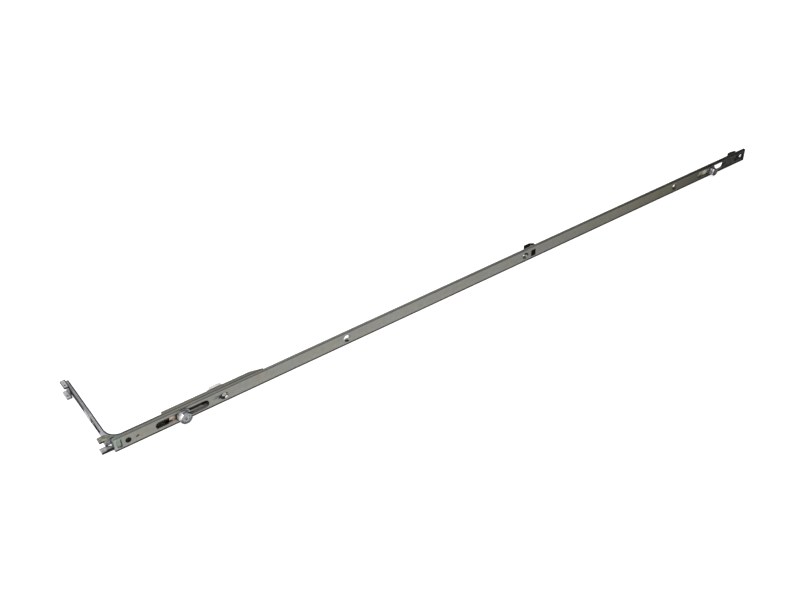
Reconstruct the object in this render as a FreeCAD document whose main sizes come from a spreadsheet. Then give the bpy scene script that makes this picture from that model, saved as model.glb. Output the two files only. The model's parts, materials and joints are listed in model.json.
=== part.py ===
import FreeCAD, Part
import os
import re
import sys

# Window espagnolette with corner drive, lying on the long edge of its
# faceplate.  Millimetres.  X runs along the long leg away from the corner,
# Y along the short leg, Z is up, across the 16 mm width of the faceplate.
# The origin is on the lower edge of the faceplate, at its corner end, in the
# middle of the plate's thickness: the plate's front is at y = -faceT/2.

V = FreeCAD.Vector
Rot = FreeCAD.Rotation

doc = FreeCAD.newDocument("espagnolette")

# ---------------------------------------------------------------- dimensions
dims = {
    # long faceplate
    "faceL": 871.5, "faceW": 16.0, "faceT": 3.0, "edgeR": 0.6, "midZ": 8.0,
    "slotR": 4.6, "slotAa": 46.7, "slotAb": 94.0, "slotBa": 788.1, "slotBb": 827.8,
    "screwR": 2.9, "screwXa": 259.0, "screwXb": 501.0, "screwXc": 743.0, "sinkC": 1.3,
    "endR": 2.7, "endXa": 14.2, "endXb": 865.2, "endC": 0.5,
    "studR": 2.3, "studX": 115.7,
    "pipX": 22.8, "pipR": 1.1, "pipD": 0.7,
    "winX": 513.0, "winW": 6.0, "winH": 8.0,
    "tenX": 4.8, "tenW": 4.4, "tenH": 8.0, "tenGap": 0.3, "tenIn": 0.4,
    # drive rod behind the faceplate
    "rodXa": 60.0, "rodXb": 856.5, "rodW": 10.4, "rodT": 2.0, "rodGap": 0.3,
    "slitR": 3.8, "stroke": 18.0,
    "slitXa": 95.2, "slitXb": 136.2,
    "slitXc": 238.6, "slitXd": 279.4,
    "slitXe": 482.8, "slitXf": 531.0,
    "slitXg": 722.6, "slitXh": 763.4,
    "openXa": 816.0, "openXb": 840.0, "openTop": 9.6,
    "tongueX": 66.0, "tongueCut": 1.05,
    # locking cams
    "camXa": 71.1, "camXb": 808.5, "pivotR": 2.8, "pivotGap": 0.05,
    "pivotHeadR": 3.8, "pivotHeadT": 0.75, "shankR": 3.5,
    "flangeT": 0.4, "journalL": 2.7, "rollerL": 2.5, "rollerGap": 0.05,
    "headL": 3.4, "headBevel": 0.8, "hexR": 1.9, "hexD": 1.2, "rimD": 0.3,
    "flangeRa": 6.9, "journalRa": 4.0, "rollerRa": 6.35, "headRa": 6.5, "rimRa": 4.9,
    "throwXa": 0.0, "throwZa": -0.7,
    "flangeRb": 6.7, "journalRb": 3.3, "rollerRb": 4.75, "headRb": 4.9, "rimRb": 3.5,
    "throwXb": 0.6, "throwZb": -0.35,
    # corner
    "arcX": 11.5, "arcY": 17.25, "outerR": 13.4, "leafMidR": 12.95,
    "wallOutR": 12.5, "wallInR": 11.75, "guideW": 12.0,
    "blockX": -5.2, "blockXa": 0.3, "blockYa": 9.5, "blockEnd": 36.0, "stubEnd": 52.6,
    "plateT": 2.0, "forkX": -11.6, "forkYa": 2.8, "forkYb": 9.9,
    "plateX": 2.7, "plateY": 5.2, "rivR": 0.55,
    # flexible transfer leaves
    "leafT": 0.33, "leafW": 6.0, "leafGap": 0.04, "leafEndX": 74.5, "leafEndY": 54.0,
    # shoe at the rod end
    "shoeX": 57.5, "shoeStep": 59.9, "shoeFront": 1.7,
    # short leg
    "railXa": -3.8, "railXb": -0.2, "railWall": 0.8, "railH": 8.0,
    "railYa": 17.3, "railYb": 107.5,
    "barXa": -3.7, "barXb": -1.9, "barXc": -1.1, "barH": 6.2, "barYa": 36.5, "barYb": 108.7,
    "barYc": 76.0,
    "bridgeYa": 44.5, "bridgeYb": 59.5, "bridgeT": 0.3,
    "clevX": -9.4, "clevYa": 93.4, "clevYb": 105.8, "clevWeb": 1.0, "clevPinR": 1.0,
    "clevPinX": -7.0, "clevPinY": 97.2, "dimpleR": 0.7, "dimpleX": -6.7, "dimpleY": 101.4, "dimpleD": 0.5,
    # cover behind the near cam
    "coverXa": 52.7, "coverXb": 149.0, "coverXc": 162.5, "coverY": 8.35,
    "coverYc": 4.95, "coverWall": 0.8, "coverSide": 0.6, "coverLip": 5.6,
    "coverWinXa": 103.6, "coverWinXb": 118.4, "coverWinH": 7.0,
    # nylon stud
    "nylXa": 104.0, "nylXb": 119.0, "nylXc": 118.0, "nylYa": 4.1, "nylYb": 7.3,
    "nylYc": 13.0, "nylBore": 1.0, "nylH": 8.0, "nylBossH": 6.0,
    "capXa": 105.5, "capYb": 11.7, "capH": 12.8,
    # clip at mid length
    "clipXa": 506.8, "clipXb": 519.0, "clipYa": 4.0, "clipYb": 9.0, "clipSide": 0.6,
    # coupling block at the rod's far end
    "blkXa": 846.4, "blkXb": 857.0, "blkXc": 861.3, "blkY": 7.8, "blkRoot": 3.8,
    "toothW": 1.1, "toothD": 0.8,
    # backing strip of the far cam
    "backXa": 772.0, "backXb": 812.8, "backT": 1.0, "backW": 10.0,
    "backRivXa": 789.0, "backRivXb": 777.0, "backRivR": 1.9,
}

sheet = doc.addObject("Spreadsheet::Sheet", "Spec")
sheet.Label = "Spec"
for row, (name, value) in enumerate(dims.items(), start=1):
    sheet.set("A%d" % row, name)
    sheet.set("B%d" % row, repr(float(value)))
    sheet.setAlias("B%d" % row, name)
doc.recompute()

WORD = re.compile(r"[A-Za-z]+")


def ex(text):
    """A formula in sheet names, written as an expression."""
    return WORD.sub(lambda m: "Spec." + m.group(0) if m.group(0) in dims else m.group(0), text)


def val(e):
    """The present value of a formula or number."""
    if isinstance(e, (int, float)):
        return float(e)
    total = WORD.sub(lambda m: repr(dims[m.group(0)]), e)
    return number(total)


def number(text):
    """Arithmetic on + - * / and brackets."""
    tokens = re.findall(r"\d+\.\d+|\d+|[()+\-*/]", text)
    pos = [0]

    def peek():
        return tokens[pos[0]] if pos[0] < len(tokens) else ""

    def take():
        pos[0] += 1
        return tokens[pos[0] - 1]

    def factor():
        t = take()
        if t == "-":
            return -factor()
        if t == "+":
            return factor()
        if t == "(":
            v = expr()
            take()
            return v
        return float(t)

    def term():
        v = factor()
        while peek() in ("*", "/"):
            if take() == "*":
                v *= factor()
            else:
                v /= factor()
        return v

    def expr():
        v = term()
        while peek() in ("+", "-"):
            if take() == "+":
                v += term()
            else:
                v -= term()
        return v

    return expr()


def bind(obj, prop, e):
    """Set a property, and bind it to the sheet where it is a formula."""
    if isinstance(e, (int, float)):
        if "." in prop:
            obj.setExpression(prop, repr(float(e)))
        else:
            setattr(obj, prop, float(e))
    else:
        obj.setExpression(prop, ex(e))


def spot(obj, x, y, z, rot=None):
    if rot is not None:
        obj.Placement = FreeCAD.Placement(V(0, 0, 0), rot)
    for axis, e in (("x", x), ("y", y), ("z", z)):
        bind(obj, ".Placement.Base." + axis, e)
    return obj


def box(name, xa, xb, ya, yb, za, zb):
    """A block between two corners, each coordinate a formula or a number."""
    def s(e):
        return "(%s)" % e
    o = doc.addObject("Part::Box", name)
    bind(o, "Length", s(xb) + "-" + s(xa))
    bind(o, "Width", s(yb) + "-" + s(ya))
    bind(o, "Height", s(zb) + "-" + s(za))
    return spot(o, s(xa), s(ya), s(za))


TO_FRONT = Rot(V(1, 0, 0), 90)      # a cylinder's axis turned to -Y
UP = Rot()


def cyl(name, radius, height, x, y, z, rot=UP, angle=None):
    o = doc.addObject("Part::Cylinder", name)
    bind(o, "Radius", radius)
    bind(o, "Height", height)
    if angle is not None:
        o.Angle = angle
    return spot(o, x, y, z, rot)


def prism(name, sides, radius, height, x, y, z, turn=0.0):
    """A regular prism along -Y."""
    o = doc.addObject("Part::Prism", name)
    o.Polygon = sides
    bind(o, "Circumradius", radius)
    bind(o, "Height", height)
    return spot(o, x, y, z, TO_FRONT * Rot(V(0, 0, 1), turn))


def cone(name, ra, rb, height, x, y, z):
    o = doc.addObject("Part::Cone", name)
    bind(o, "Radius1", ra)
    bind(o, "Radius2", rb)
    bind(o, "Height", height)
    return spot(o, x, y, z, TO_FRONT)


def fuse(name, *shapes):
    o = doc.addObject("Part::MultiFuse", name)
    o.Shapes = list(shapes)
    o.Refine = True
    return o


def cut(name, base, *tools):
    tool = tools[0] if len(tools) == 1 else fuse(name + "_tools", *tools)
    o = doc.addObject("Part::Cut", name)
    o.Base = base
    o.Tool = tool
    o.Refine = True
    return o


def common(name, a, b):
    o = doc.addObject("Part::Common", name)
    o.Base = a
    o.Tool = b
    o.Refine = True
    return o


def group(name, *shapes):
    """Alike fasteners kept as separate solids in one node."""
    o = doc.addObject("Part::Compound", name)
    o.Links = list(shapes)
    return o


nodes = {}


def node(name, obj):
    obj.Label = name
    nodes[name] = obj
    return obj


# ------------------------------------------------------- sketch construction
def new_body(name, plane):
    body = doc.addObject("PartDesign::Body", name)
    doc.recompute()
    base = [f for f in body.Origin.OriginFeatures if f.Role == plane][0]
    return body, base


def new_sketch(body, base, name):
    sk = body.newObject("Sketcher::SketchObject", name)
    sk.AttachmentSupport = [(base, "")]
    sk.MapMode = "FlatFace"
    return sk


def import_sketcher():
    import Sketcher
    return Sketcher


Sk = import_sketcher()


def dim(sk, kind, args, e, name):
    """One dimension of a sketch, bound to the sheet."""
    v = val(e)
    sk.addConstraint(Sk.Constraint(kind, *(list(args) + [v])))
    if not isinstance(e, (int, float)):
        i = sk.ConstraintCount - 1
        sk.renameConstraint(i, name)
        sk.setExpression("Constraints." + name, ex(e))


def sk_circle(sk, tag, x, y, r):
    g = sk.addGeometry(Part.Circle(V(val(x), val(y), 0), V(0, 0, 1), val(r)), False)
    dim(sk, "Radius", (g,), r, tag + "Radius")
    dim(sk, "DistanceX", (-1, 1, g, 3), x, tag + "AtX")
    dim(sk, "DistanceY", (-1, 1, g, 3), y, tag + "AtY")


def sk_slot(sk, tag, xa, xb, y, r):
    a, b, c, q = val(xa), val(xb), val(y), val(r)
    z = V(0, 0, 1)
    pi = 3.141592653589793
    ga = sk.addGeometry(Part.ArcOfCircle(Part.Circle(V(a, c, 0), z, q), pi / 2, 3 * pi / 2), False)
    gb = sk.addGeometry(Part.ArcOfCircle(Part.Circle(V(b, c, 0), z, q), -pi / 2, pi / 2), False)
    lo = sk.addGeometry(Part.LineSegment(V(a, c - q, 0), V(b, c - q, 0)), False)
    up = sk.addGeometry(Part.LineSegment(V(b, c + q, 0), V(a, c + q, 0)), False)
    for p in ((ga, 2, lo, 1), (lo, 2, gb, 1), (gb, 2, up, 1), (up, 2, ga, 1)):
        sk.addConstraint(Sk.Constraint("Tangent", *p))
    dim(sk, "Radius", (ga,), r, tag + "RadiusA")
    dim(sk, "Radius", (gb,), r, tag + "RadiusB")
    dim(sk, "DistanceX", (-1, 1, ga, 3), xa, tag + "AtXa")
    dim(sk, "DistanceY", (-1, 1, ga, 3), y, tag + "AtYa")
    dim(sk, "DistanceX", (-1, 1, gb, 3), xb, tag + "AtXb")
    dim(sk, "DistanceY", (-1, 1, gb, 3), y, tag + "AtYb")


def sk_poly(sk, tag, pts):
    """A closed outline, every corner placed by two dimensions."""
    n = len(pts)
    first = None
    for i in range(n):
        (xa, ya), (xb, yb) = pts[i], pts[(i + 1) % n]
        g = sk.addGeometry(Part.LineSegment(V(val(xa), val(ya), 0), V(val(xb), val(yb), 0)), False)
        first = g if first is None else first
    for i in range(n):
        sk.addConstraint(Sk.Constraint("Coincident", first + i, 2, first + (i + 1) % n, 1))
    for i, (x, y) in enumerate(pts):
        dim(sk, "DistanceX", (-1, 1, first + i, 1), x, "%sX%s" % (tag, chr(97 + i)))
        dim(sk, "DistanceY", (-1, 1, first + i, 1), y, "%sY%s" % (tag, chr(97 + i)))


def sk_rect(sk, tag, xa, xb, ya, yb):
    sk_poly(sk, tag, [(xa, ya), (xb, ya), (xb, yb), (xa, yb)])


def pad(body, sk, name, length, mid=False):
    p = body.newObject("PartDesign::Pad", name)
    p.Profile = sk
    bind(p, "Length", length)
    if mid:
        p.Midplane = True
    sk.Visibility = False
    return p


def pocket(body, sk, name, length=None, mid=False, reverse=False):
    p = body.newObject("PartDesign::Pocket", name)
    p.Profile = sk
    if length is None:
        p.Type = "ThroughAll"
        p.Midplane = True
    else:
        p.Type = "Length"
        bind(p, "Length", length)
        p.Midplane = mid
        p.Reversed = reverse
    sk.Visibility = False
    return p


def must_shrink(feature, before, least):
    """A pocket has to take away at least this volume."""
    lost = before - feature.Shape.Volume
    if lost < least:
        raise SystemExit("%s took away %.3f mm3, expected at least %.3f" % (feature.Name, lost, least))


def flat_poly(name, pts, za, zb):
    """A plate between two heights, from an outline seen from above."""
    body, base = new_body(name, "XY_Plane")
    sk = new_sketch(body, base, name + "_outline")
    sk_poly(sk, "P", pts)
    pad(body, sk, name + "_pad", "(%s)-(%s)" % (zb, za))
    bind(body, ".Placement.Base.z", za)
    return body


# ----------------------------------------------------------- 1 long faceplate
def edges_where(shape, test):
    return ["Edge%d" % (i + 1) for i, e in enumerate(shape.Edges) if test(e)]


body, base = new_body("long_faceplate_body", "XZ_Plane")
sk = new_sketch(body, base, "faceplate_outline")
sk_rect(sk, "Out", 0.0, "faceL", 0.0, "faceW")
pad(body, sk, "faceplate_strip", "faceT", mid=True)
doc.recompute()
before = body.Tip.Shape.Volume
sk = new_sketch(body, base, "faceplate_openings")
sk_slot(sk, "Near", "slotAa", "slotAb", "midZ", "slotR")
sk_slot(sk, "Far", "slotBa", "slotBb", "midZ", "slotR")
sk_circle(sk, "ScrewA", "screwXa", "midZ", "screwR")
sk_circle(sk, "ScrewB", "screwXb", "midZ", "screwR")
sk_circle(sk, "ScrewC", "screwXc", "midZ", "screwR")
sk_circle(sk, "EndA", "endXa", "midZ", "endR")
sk_circle(sk, "EndB", "endXb", "midZ", "endR")
sk_circle(sk, "Stud", "studX", "midZ", "studR")
sk_rect(sk, "Win", "winX-winW/2", "winX+winW/2", "midZ-winH/2", "midZ+winH/2")
sk_rect(sk, "Ten", "tenX-tenW/2", "tenX+tenW/2", "midZ-tenH/2", "midZ+tenH/2")
openings = pocket(body, sk, "faceplate_openings_cut")
doc.recompute()
must_shrink(openings, before, 3000.0)

# shallow centre mark, cut from the front face
before = openings.Shape.Volume
sk = new_sketch(body, base, "centre_mark")
sk.AttachmentOffset = FreeCAD.Placement(V(0, 0, 0), Rot())
sk_circle(sk, "Pip", "pipX", "midZ", "pipR")
mark = body.newObject("PartDesign::Pocket", "centre_mark_cut")
mark.Profile = sk
mark.Type = "Length"
bind(mark, "Length", "pipD")
doc.recompute()
# the sketch plane is moved out to the front face of the strip
for off, rev in ((1, False), (1, True), (-1, False), (-1, True)):
    sk.setExpression("AttachmentOffset.Base.z", ("" if off > 0 else "-") + "Spec.faceT/2")
    mark.Reversed = rev
    doc.recompute()
    lost = before - mark.Shape.Volume
    bb = mark.Shape.BoundBox
    dug = [f for f in mark.Shape.Faces if f.Surface.TypeId == "Part::GeomPlane"
           and abs(f.Area - 3.14159 * val("pipR") ** 2) < 0.05]
    if lost > 1.0 and dug and dug[0].CenterOfMass.y < 0:
        break
must_shrink(mark, before, 1.0)

# countersinks at the front of the screw holes and the far end hole, a light
# break on the near one
def front_ring(radius):
    def test(e):
        c = e.Curve
        return (c.TypeId == "Part::GeomCircle" and abs(c.Radius - radius) < 1e-4
                and abs(c.Center.y + val("faceT") / 2) < 1e-4 and abs(e.Length - 6.2831853 * radius) < 1e-2)
    return test


def ring_at(radius, xs):
    near = front_ring(radius)
    return lambda e: near(e) and any(abs(e.Curve.Center.x - x) < 0.01 for x in xs)


sink = body.newObject("PartDesign::Chamfer", "screw_countersinks")
sink_rings = (edges_where(mark.Shape, ring_at(val("screwR"), (val("screwXa"), val("screwXb"), val("screwXc"))))
              + edges_where(mark.Shape, ring_at(val("studR"), (val("studX"),))))
if len(sink_rings) != 4:
    raise SystemExit("expected four holes to countersink, found %d" % len(sink_rings))
sink.Base = (mark, sink_rings)
bind(sink, "Size", "sinkC")
doc.recompute()
brk = body.newObject("PartDesign::Chamfer", "near_hole_break")
brk.Base = (sink, edges_where(sink.Shape, ring_at(val("endR"), (val("endXa"),))))
bind(brk, "Size", "endC")
doc.recompute()
deep = body.newObject("PartDesign::Chamfer", "far_hole_countersink")
deep.Base = (brk, edges_where(brk.Shape, ring_at(val("endR"), (val("endXb"),))))
bind(deep, "Size", "sinkC")
doc.recompute()
long_edges = edges_where(deep.Shape, lambda e: e.Length > 0.9 * val("faceL") and abs(e.CenterOfMass.y + val("faceT") / 2) < 1e-3)
rnd = body.newObject("PartDesign::Fillet", "front_edges")
rnd.Base = (deep, long_edges)
bind(rnd, "Radius", "edgeR")
doc.recompute()
node("long_faceplate", body)

# ---------------------------------------------------------------- 2 drive rod
body, base = new_body("drive_rod_body", "XZ_Plane")
sk = new_sketch(body, base, "rod_outline")
sk_rect(sk, "Out", "rodXa", "rodXb", "midZ-rodW/2", "midZ+rodW/2")
pad(body, sk, "rod_strip", "rodT", mid=True)
doc.recompute()
before = body.Tip.Shape.Volume
sk = new_sketch(body, base, "rod_openings")
sk_circle(sk, "CamA", "camXa", "midZ", "pivotR+pivotGap")
sk_circle(sk, "CamB", "camXb", "midZ", "pivotR+pivotGap")
sk_slot(sk, "SlitA", "slitXa", "slitXb", "midZ", "slitR")
sk_slot(sk, "SlitB", "slitXc", "slitXd", "midZ", "slitR")
sk_slot(sk, "SlitC", "slitXe", "slitXf", "midZ", "slitR")
sk_slot(sk, "SlitD", "slitXg", "slitXh", "midZ", "slitR")
sk_circle(sk, "RivA", "backRivXa", "midZ", "backRivR")
sk_circle(sk, "RivB", "backRivXb", "midZ", "backRivR")
sk_circle(sk, "EndRivA", 849.5, "midZ", 1.5)
sk_circle(sk, "EndRivB", 854.0, "midZ", 1.5)
rod_cut = pocket(body, sk, "rod_openings_cut")
doc.recompute()
must_shrink(rod_cut, before, 1500.0)


def face_pocket(body, base, name, draw, depth, half, want_y, least):
    """A pocket dug from one face of a strip that is centred on its plane."""
    prev = body.Tip
    before = prev.Shape.Volume
    sk = new_sketch(body, base, name + "_sketch")
    draw(sk)
    p = body.newObject("PartDesign::Pocket", name)
    p.Profile = sk
    p.Type = "Length"
    bind(p, "Length", depth)
    best = None
    for sign in ("", "-"):
        for rev in (False, True):
            sk.setExpression("AttachmentOffset.Base.z", sign + "(" + ex(half) + ")")
            p.Reversed = rev
            doc.recompute()
            gone = prev.Shape.cut(p.Shape)
            if gone.Volume > least and (gone.BoundBox.Center.y > 0) == (want_y > 0):
                got = gone.Volume
                if best is None or got > best[0]:
                    best = (got, sign, rev)
    if best is None:
        raise SystemExit(name + " took nothing away on the wanted face")
    sk.setExpression("AttachmentOffset.Base.z", best[1] + "(" + ex(half) + ")")
    p.Reversed = best[2]
    doc.recompute()
    must_shrink(p, before, least)
    return p


def draw_heads(sk):
    sk_circle(sk, "HeadA", "camXa", "midZ", "pivotHeadR+0.1")
    sk_circle(sk, "HeadB", "camXb", "midZ", "pivotHeadR+0.1")


def draw_tongue(sk):
    sk_rect(sk, "Tongue", "rodXa-1", "tongueX", "midZ-rodW/2-1", "midZ+rodW/2+1")


face_pocket(body, base, "cam_head_seats", draw_heads, "pivotHeadT+0.1", "rodT/2", 1, 20.0)
face_pocket(body, base, "shoe_tongue", draw_tongue, "tongueCut", "rodT/2", -1, 30.0)
bind(body, ".Placement.Base.y", "faceT/2+rodGap+rodT/2")
doc.recompute()
# the notch beside the far cam and the small rivet holes of the tongue are cut
# across the finished strip
rod_front = "faceT/2+rodGap"
rod_back = "faceT/2+rodGap+rodT"
tongue_holes = fuse("tongue_holes",
                    box("rod_notch", "openXa", "openXb", rod_front + "-1", rod_back + "+1", 1, "openTop"),
                    cyl("tongue_hole_a", 1.2, 4, 63.0, rod_back + "+1", 5.4, TO_FRONT),
                    cyl("tongue_hole_b", 1.2, 4, 63.0, rod_back + "+1", 10.6, TO_FRONT))
node("drive_rod", cut("drive_rod_cut", body, tongue_holes))

# ------------------------------------------------- 3 shoe on the rod's near end
shoe = cut("shoe_cut",
           fuse("shoe_blank",
                box("shoe_cap", "shoeX", "tongueX-0.1", "shoeFront", rod_front + "+tongueCut-0.02", "midZ-rodW/2", "midZ+rodW/2"),
                box("shoe_foot", "shoeX", "shoeStep", "shoeFront", rod_back, "midZ-rodW/2", "midZ+rodW/2")),
           cyl("shoe_hole_a", 1.2, 4, 63.0, rod_back + "+1", 5.4, TO_FRONT),
           cyl("shoe_hole_b", 1.2, 4, 63.0, rod_back + "+1", 10.6, TO_FRONT))
node("band_anchor_shoe", shoe)
node("shoe_rivets", group("shoe_rivets_group",
                          cyl("shoe_rivet_a", 1.18, rod_back + "-shoeFront", 63.0, rod_back, 5.4, TO_FRONT),
                          cyl("shoe_rivet_b", 1.18, rod_back + "-shoeFront", 63.0, rod_back, 10.6, TO_FRONT)))

# ----------------------------------------------- 4 backing strip of the far cam
back_blank = box("backing_blank", "backXa", "backXb", rod_back, rod_back + "+backT", "midZ-backW/2", "midZ+backW/2")
node("far_cam_backing", cut("far_cam_backing_cut", back_blank,
                            cyl("backing_hole_a", "backRivR", 4, "backRivXa", rod_back + "+2", "midZ", TO_FRONT),
                            cyl("backing_hole_b", "backRivR", 4, "backRivXb", rod_back + "+2", "midZ", TO_FRONT)))
node("backing_rivets", group("backing_rivets_group",
                             cyl("backing_rivet_a", "backRivR-0.02", "rodT+backT+0.05", "backRivXa", rod_back + "+backT", "midZ", TO_FRONT),
                             cyl("backing_rivet_b", "backRivR-0.02", "rodT+backT+0.05", "backRivXb", rod_back + "+backT", "midZ", TO_FRONT)))

# ------------------------------------------------ 5 coupling block, toothed back
blk_parts = [
    flat_poly("block_crown", [("blkXa", "blkRoot"), ("blkXb", "blkRoot"), ("blkXb", "blkY-2.4"), ("blkXc", "blkY-2.6"),
                              ("blkXc", "blkY-1.8"), ("blkXb-1.2", "blkY-0.3"), ("blkXa+5", "blkY"),
                              ("blkXa+2.2", "blkY-0.4"), ("blkXa", "blkY-2.2")], "midZ-guideW/2", "midZ+guideW/2"),
    box("block_cheek_low", "blkXa", "blkXb", "faceT/2+0.3", "blkRoot+0.3", "midZ-guideW/2", "midZ-rodW/2-0.05"),
    box("block_cheek_high", "blkXa", "blkXb", "faceT/2+0.3", "blkRoot+0.3", "midZ+rodW/2+0.05", "midZ+guideW/2"),
]
blk_cuts = [box("block_gap_%s" % c, x, str(x) + "+toothW", "blkY-toothD", "blkY+1", "midZ-guideW/2-1", "midZ+guideW/2+1")
            for c, x in (("a", "851.2"), ("b", "855.6"))]
blk_cuts += [cyl("block_hole_a", 1.5, 8, 849.5, "blkY+1", "midZ", TO_FRONT),
             cyl("block_hole_b", 1.5, 8, 854.0, "blkY+1", "midZ", TO_FRONT)]
node("rod_end_block", cut("rod_end_block_cut", fuse("rod_end_block_blank", *blk_parts), *blk_cuts))
node("end_block_rivets", group("end_block_rivets_group",
                               cyl("end_rivet_a", 1.48, "blkY-toothD-faceT/2-rodGap", 849.5, "blkY-toothD", "midZ", TO_FRONT),
                               cyl("end_rivet_b", 1.48, "blkY-toothD-faceT/2-rodGap", 854.0, "blkY-toothD", "midZ", TO_FRONT)))


# ------------------------------------------------------------ 6 locking cams
def cam(tag, k):
    """Eccentric pin: pivot in the rod, shank in the slot, offset journal and head."""
    x = "camX" + k
    ex, ez = x + "+throwX" + k, "midZ+throwZ" + k
    flange_r, journal_r, roller_r = "flangeR" + k, "journalR" + k, "rollerR" + k
    head_r, rim_r = "headR" + k, "rimR" + k
    seat = rod_back + "-pivotHeadT-0.05"          # front of the head's seat
    shoulder = rod_front + "-0.05"
    flange_back = "-faceT/2-0.15"
    journal_back = flange_back + "-flangeT"
    head_back = journal_back + "-journalL"
    head_front = head_back + "-headL"
    core = [
        cyl(tag + "_pivot_head", "pivotHeadR", "pivotHeadT", x, rod_back + "-0.05", "midZ", TO_FRONT),
        cyl(tag + "_pivot", "pivotR", "(%s)-(%s)+0.2" % (seat, shoulder), x, seat + "+0.1", "midZ", TO_FRONT),
        cyl(tag + "_shank", "shankR", "(%s)-(%s)" % (shoulder, flange_back), x, shoulder, "midZ", TO_FRONT),
        cyl(tag + "_flange", flange_r, "flangeT", x, flange_back, "midZ", TO_FRONT),
        cyl(tag + "_journal", journal_r, "journalL+0.1", ex, journal_back, ez, TO_FRONT),
    ]
    blank = prism(tag + "_octagon", 8, head_r, "headL", ex, head_back, ez, 22.5)
    turned = cone(tag + "_turned", head_r + "+headL-headBevel*0.55", head_r + "-headBevel*0.55", "headL", ex, head_back, ez)
    head = common(tag + "_head", blank, turned)
    whole = fuse(tag + "_solid", head, *core)
    recess = cyl(tag + "_rim", rim_r, "rimD+1", ex, head_front + "+rimD", ez, TO_FRONT)
    hexa = prism(tag + "_hex", 6, "hexR", "hexD+1", x, head_front + "+hexD", "midZ", 0.0)
    pin = cut(tag + "_pin_cut", whole, recess, hexa)
    roll_back = journal_back + "-0.1"
    ring = cut(tag + "_roller_cut",
               cyl(tag + "_roller_outer", roller_r, "rollerL", ex, roll_back, ez, TO_FRONT),
               cyl(tag + "_roller_bore", journal_r + "+rollerGap", "rollerL+2", ex, roll_back + "+1", ez, TO_FRONT))
    return pin, ring


pin, ring = cam("near_cam", "a")
node("near_cam_pin", pin)
node("near_cam_roller", ring)
pin, ring = cam("far_cam", "b")
node("far_cam_pin", pin)
node("far_cam_roller", ring)

# ------------------------------------------------------------ 7 corner block
g_lo, g_hi = "midZ-guideW/2", "midZ+guideW/2"
block_blank = fuse("corner_block_blank",
                   box("block_corner", "blockX", "arcX", "blockYa", "arcY", g_lo, g_hi),
                   box("block_core", "blockXa", "arcX", "faceT/2", "arcY", g_lo, g_hi),
                   box("block_arm", "arcX-1", "blockEnd", "faceT/2", "arcY-outerR", g_lo, g_hi))
block_cuts = [
    cyl("block_arc", "outerR", 20, "arcX", "arcY", -1),
    box("block_end_window", "endXa-3.1", "endXa+3.1", 1, 5, "midZ-3.1", "midZ+3.1"),
]
block_solid = cut("corner_block_cut", block_blank, *block_cuts)
tenon = box("corner_tenon", "tenX-tenW/2+tenGap", "tenX+tenW/2-tenGap", "tenIn-faceT/2", "faceT/2+0.2",
            "midZ-tenH/2+tenGap", "midZ+tenH/2-tenGap")
riv_a = ("1.6", "3.75")
riv_b = ("1.15", "5.2")
block_all = fuse("corner_block_all", block_solid, tenon)
block_rivet_holes = [cyl("block_riv_a", "rivR", 20, riv_a[0], riv_a[1], -1), cyl("block_riv_b", "rivR", 20, riv_b[0], riv_b[1], -1)]
node("corner_block", cut("corner_block_final", block_all, *block_rivet_holes))


def fork_plate(name, za, zb):
    pts = [("forkX+0.4", "forkYa"), ("plateX", "forkYa"), ("plateX", "plateY"), (-3.7, "forkYb"),
           ("forkX+0.4", "forkYb"), ("forkX", "forkYb-0.4"), ("forkX", "forkYa+0.4")]
    body = flat_poly(name + "_body", pts, za, zb)
    return cut(name + "_cut", body,
               cyl(name + "_riv_a", "rivR", 20, riv_a[0], riv_a[1], -2),
               cyl(name + "_riv_b", "rivR", 20, riv_b[0], riv_b[1], -2))


node("corner_plate_lower", fork_plate("corner_plate_lower", "0.0", "plateT"))
node("corner_plate_upper", fork_plate("corner_plate_upper", "faceW-plateT", "faceW"))
node("corner_rivets", group("corner_rivets_group",
                            cyl("corner_rivet_a", "rivR-0.02", "faceW", riv_a[0], riv_a[1], 0),
                            cyl("corner_rivet_b", "rivR-0.02", "faceW", riv_b[0], riv_b[1], 0)))

# ---------------------------------------- 8 inner guide: arc wall and back wall
quarter = cut("guide_arc",
              spot(cyl("guide_arc_out", "wallOutR", "guideW", 0, 0, 0, UP, 90.0), "arcX", "arcY", g_lo, Rot(V(0, 0, 1), 180)),
              spot(cyl("guide_arc_in", "wallInR", "guideW+2", 0, 0, 0, UP, 360.0), "arcX", "arcY", g_lo + "-1"))
guide = fuse("corner_inner_guide_solid", quarter,
             box("guide_back", "arcX", "stubEnd", "arcY-wallOutR", "arcY-wallInR", g_lo, g_hi),
             box("guide_side_low", "blockEnd+0.1", "stubEnd", "faceT/2", "arcY-wallOutR", g_lo, g_lo + "+0.6"),
             box("guide_side_high", "blockEnd+0.1", "stubEnd", "faceT/2", "arcY-wallOutR", g_hi + "-0.6", g_hi))
node("corner_inner_guide", guide)


# ------------------------------------------------- 9 flexible transfer leaves
def leaf(name, mid):
    """One spring leaf: straight in the long leg, round the corner, straight in the short leg."""
    ra, rb = "(%s)-leafT/2" % mid, "(%s)+leafT/2" % mid
    lo, hi = "midZ-leafW/2", "midZ+leafW/2"
    bend = cut(name + "_bend",
               spot(cyl(name + "_out", rb, "leafW", 0, 0, 0, UP, 90.0), "arcX", "arcY", lo, Rot(V(0, 0, 1), 180)),
               spot(cyl(name + "_in", ra, "leafW+2", 0, 0, 0, UP, 360.0), "arcX", "arcY", lo + "-1"))
    long_run = box(name + "_long", "arcX", "leafEndX", "arcY-(%s)" % rb, "arcY-(%s)" % ra, lo, hi)
    short_run = box(name + "_short", "arcX-(%s)" % rb, "arcX-(%s)" % ra, "arcY", "leafEndY", lo, hi)
    return fuse(name + "_solid", bend, long_run, short_run)


node("transfer_leaf_outer", leaf("leaf_outer", "leafMidR+leafT/2+leafGap/2"))
node("transfer_leaf_inner", leaf("leaf_inner", "leafMidR-leafT/2-leafGap/2"))

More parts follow.
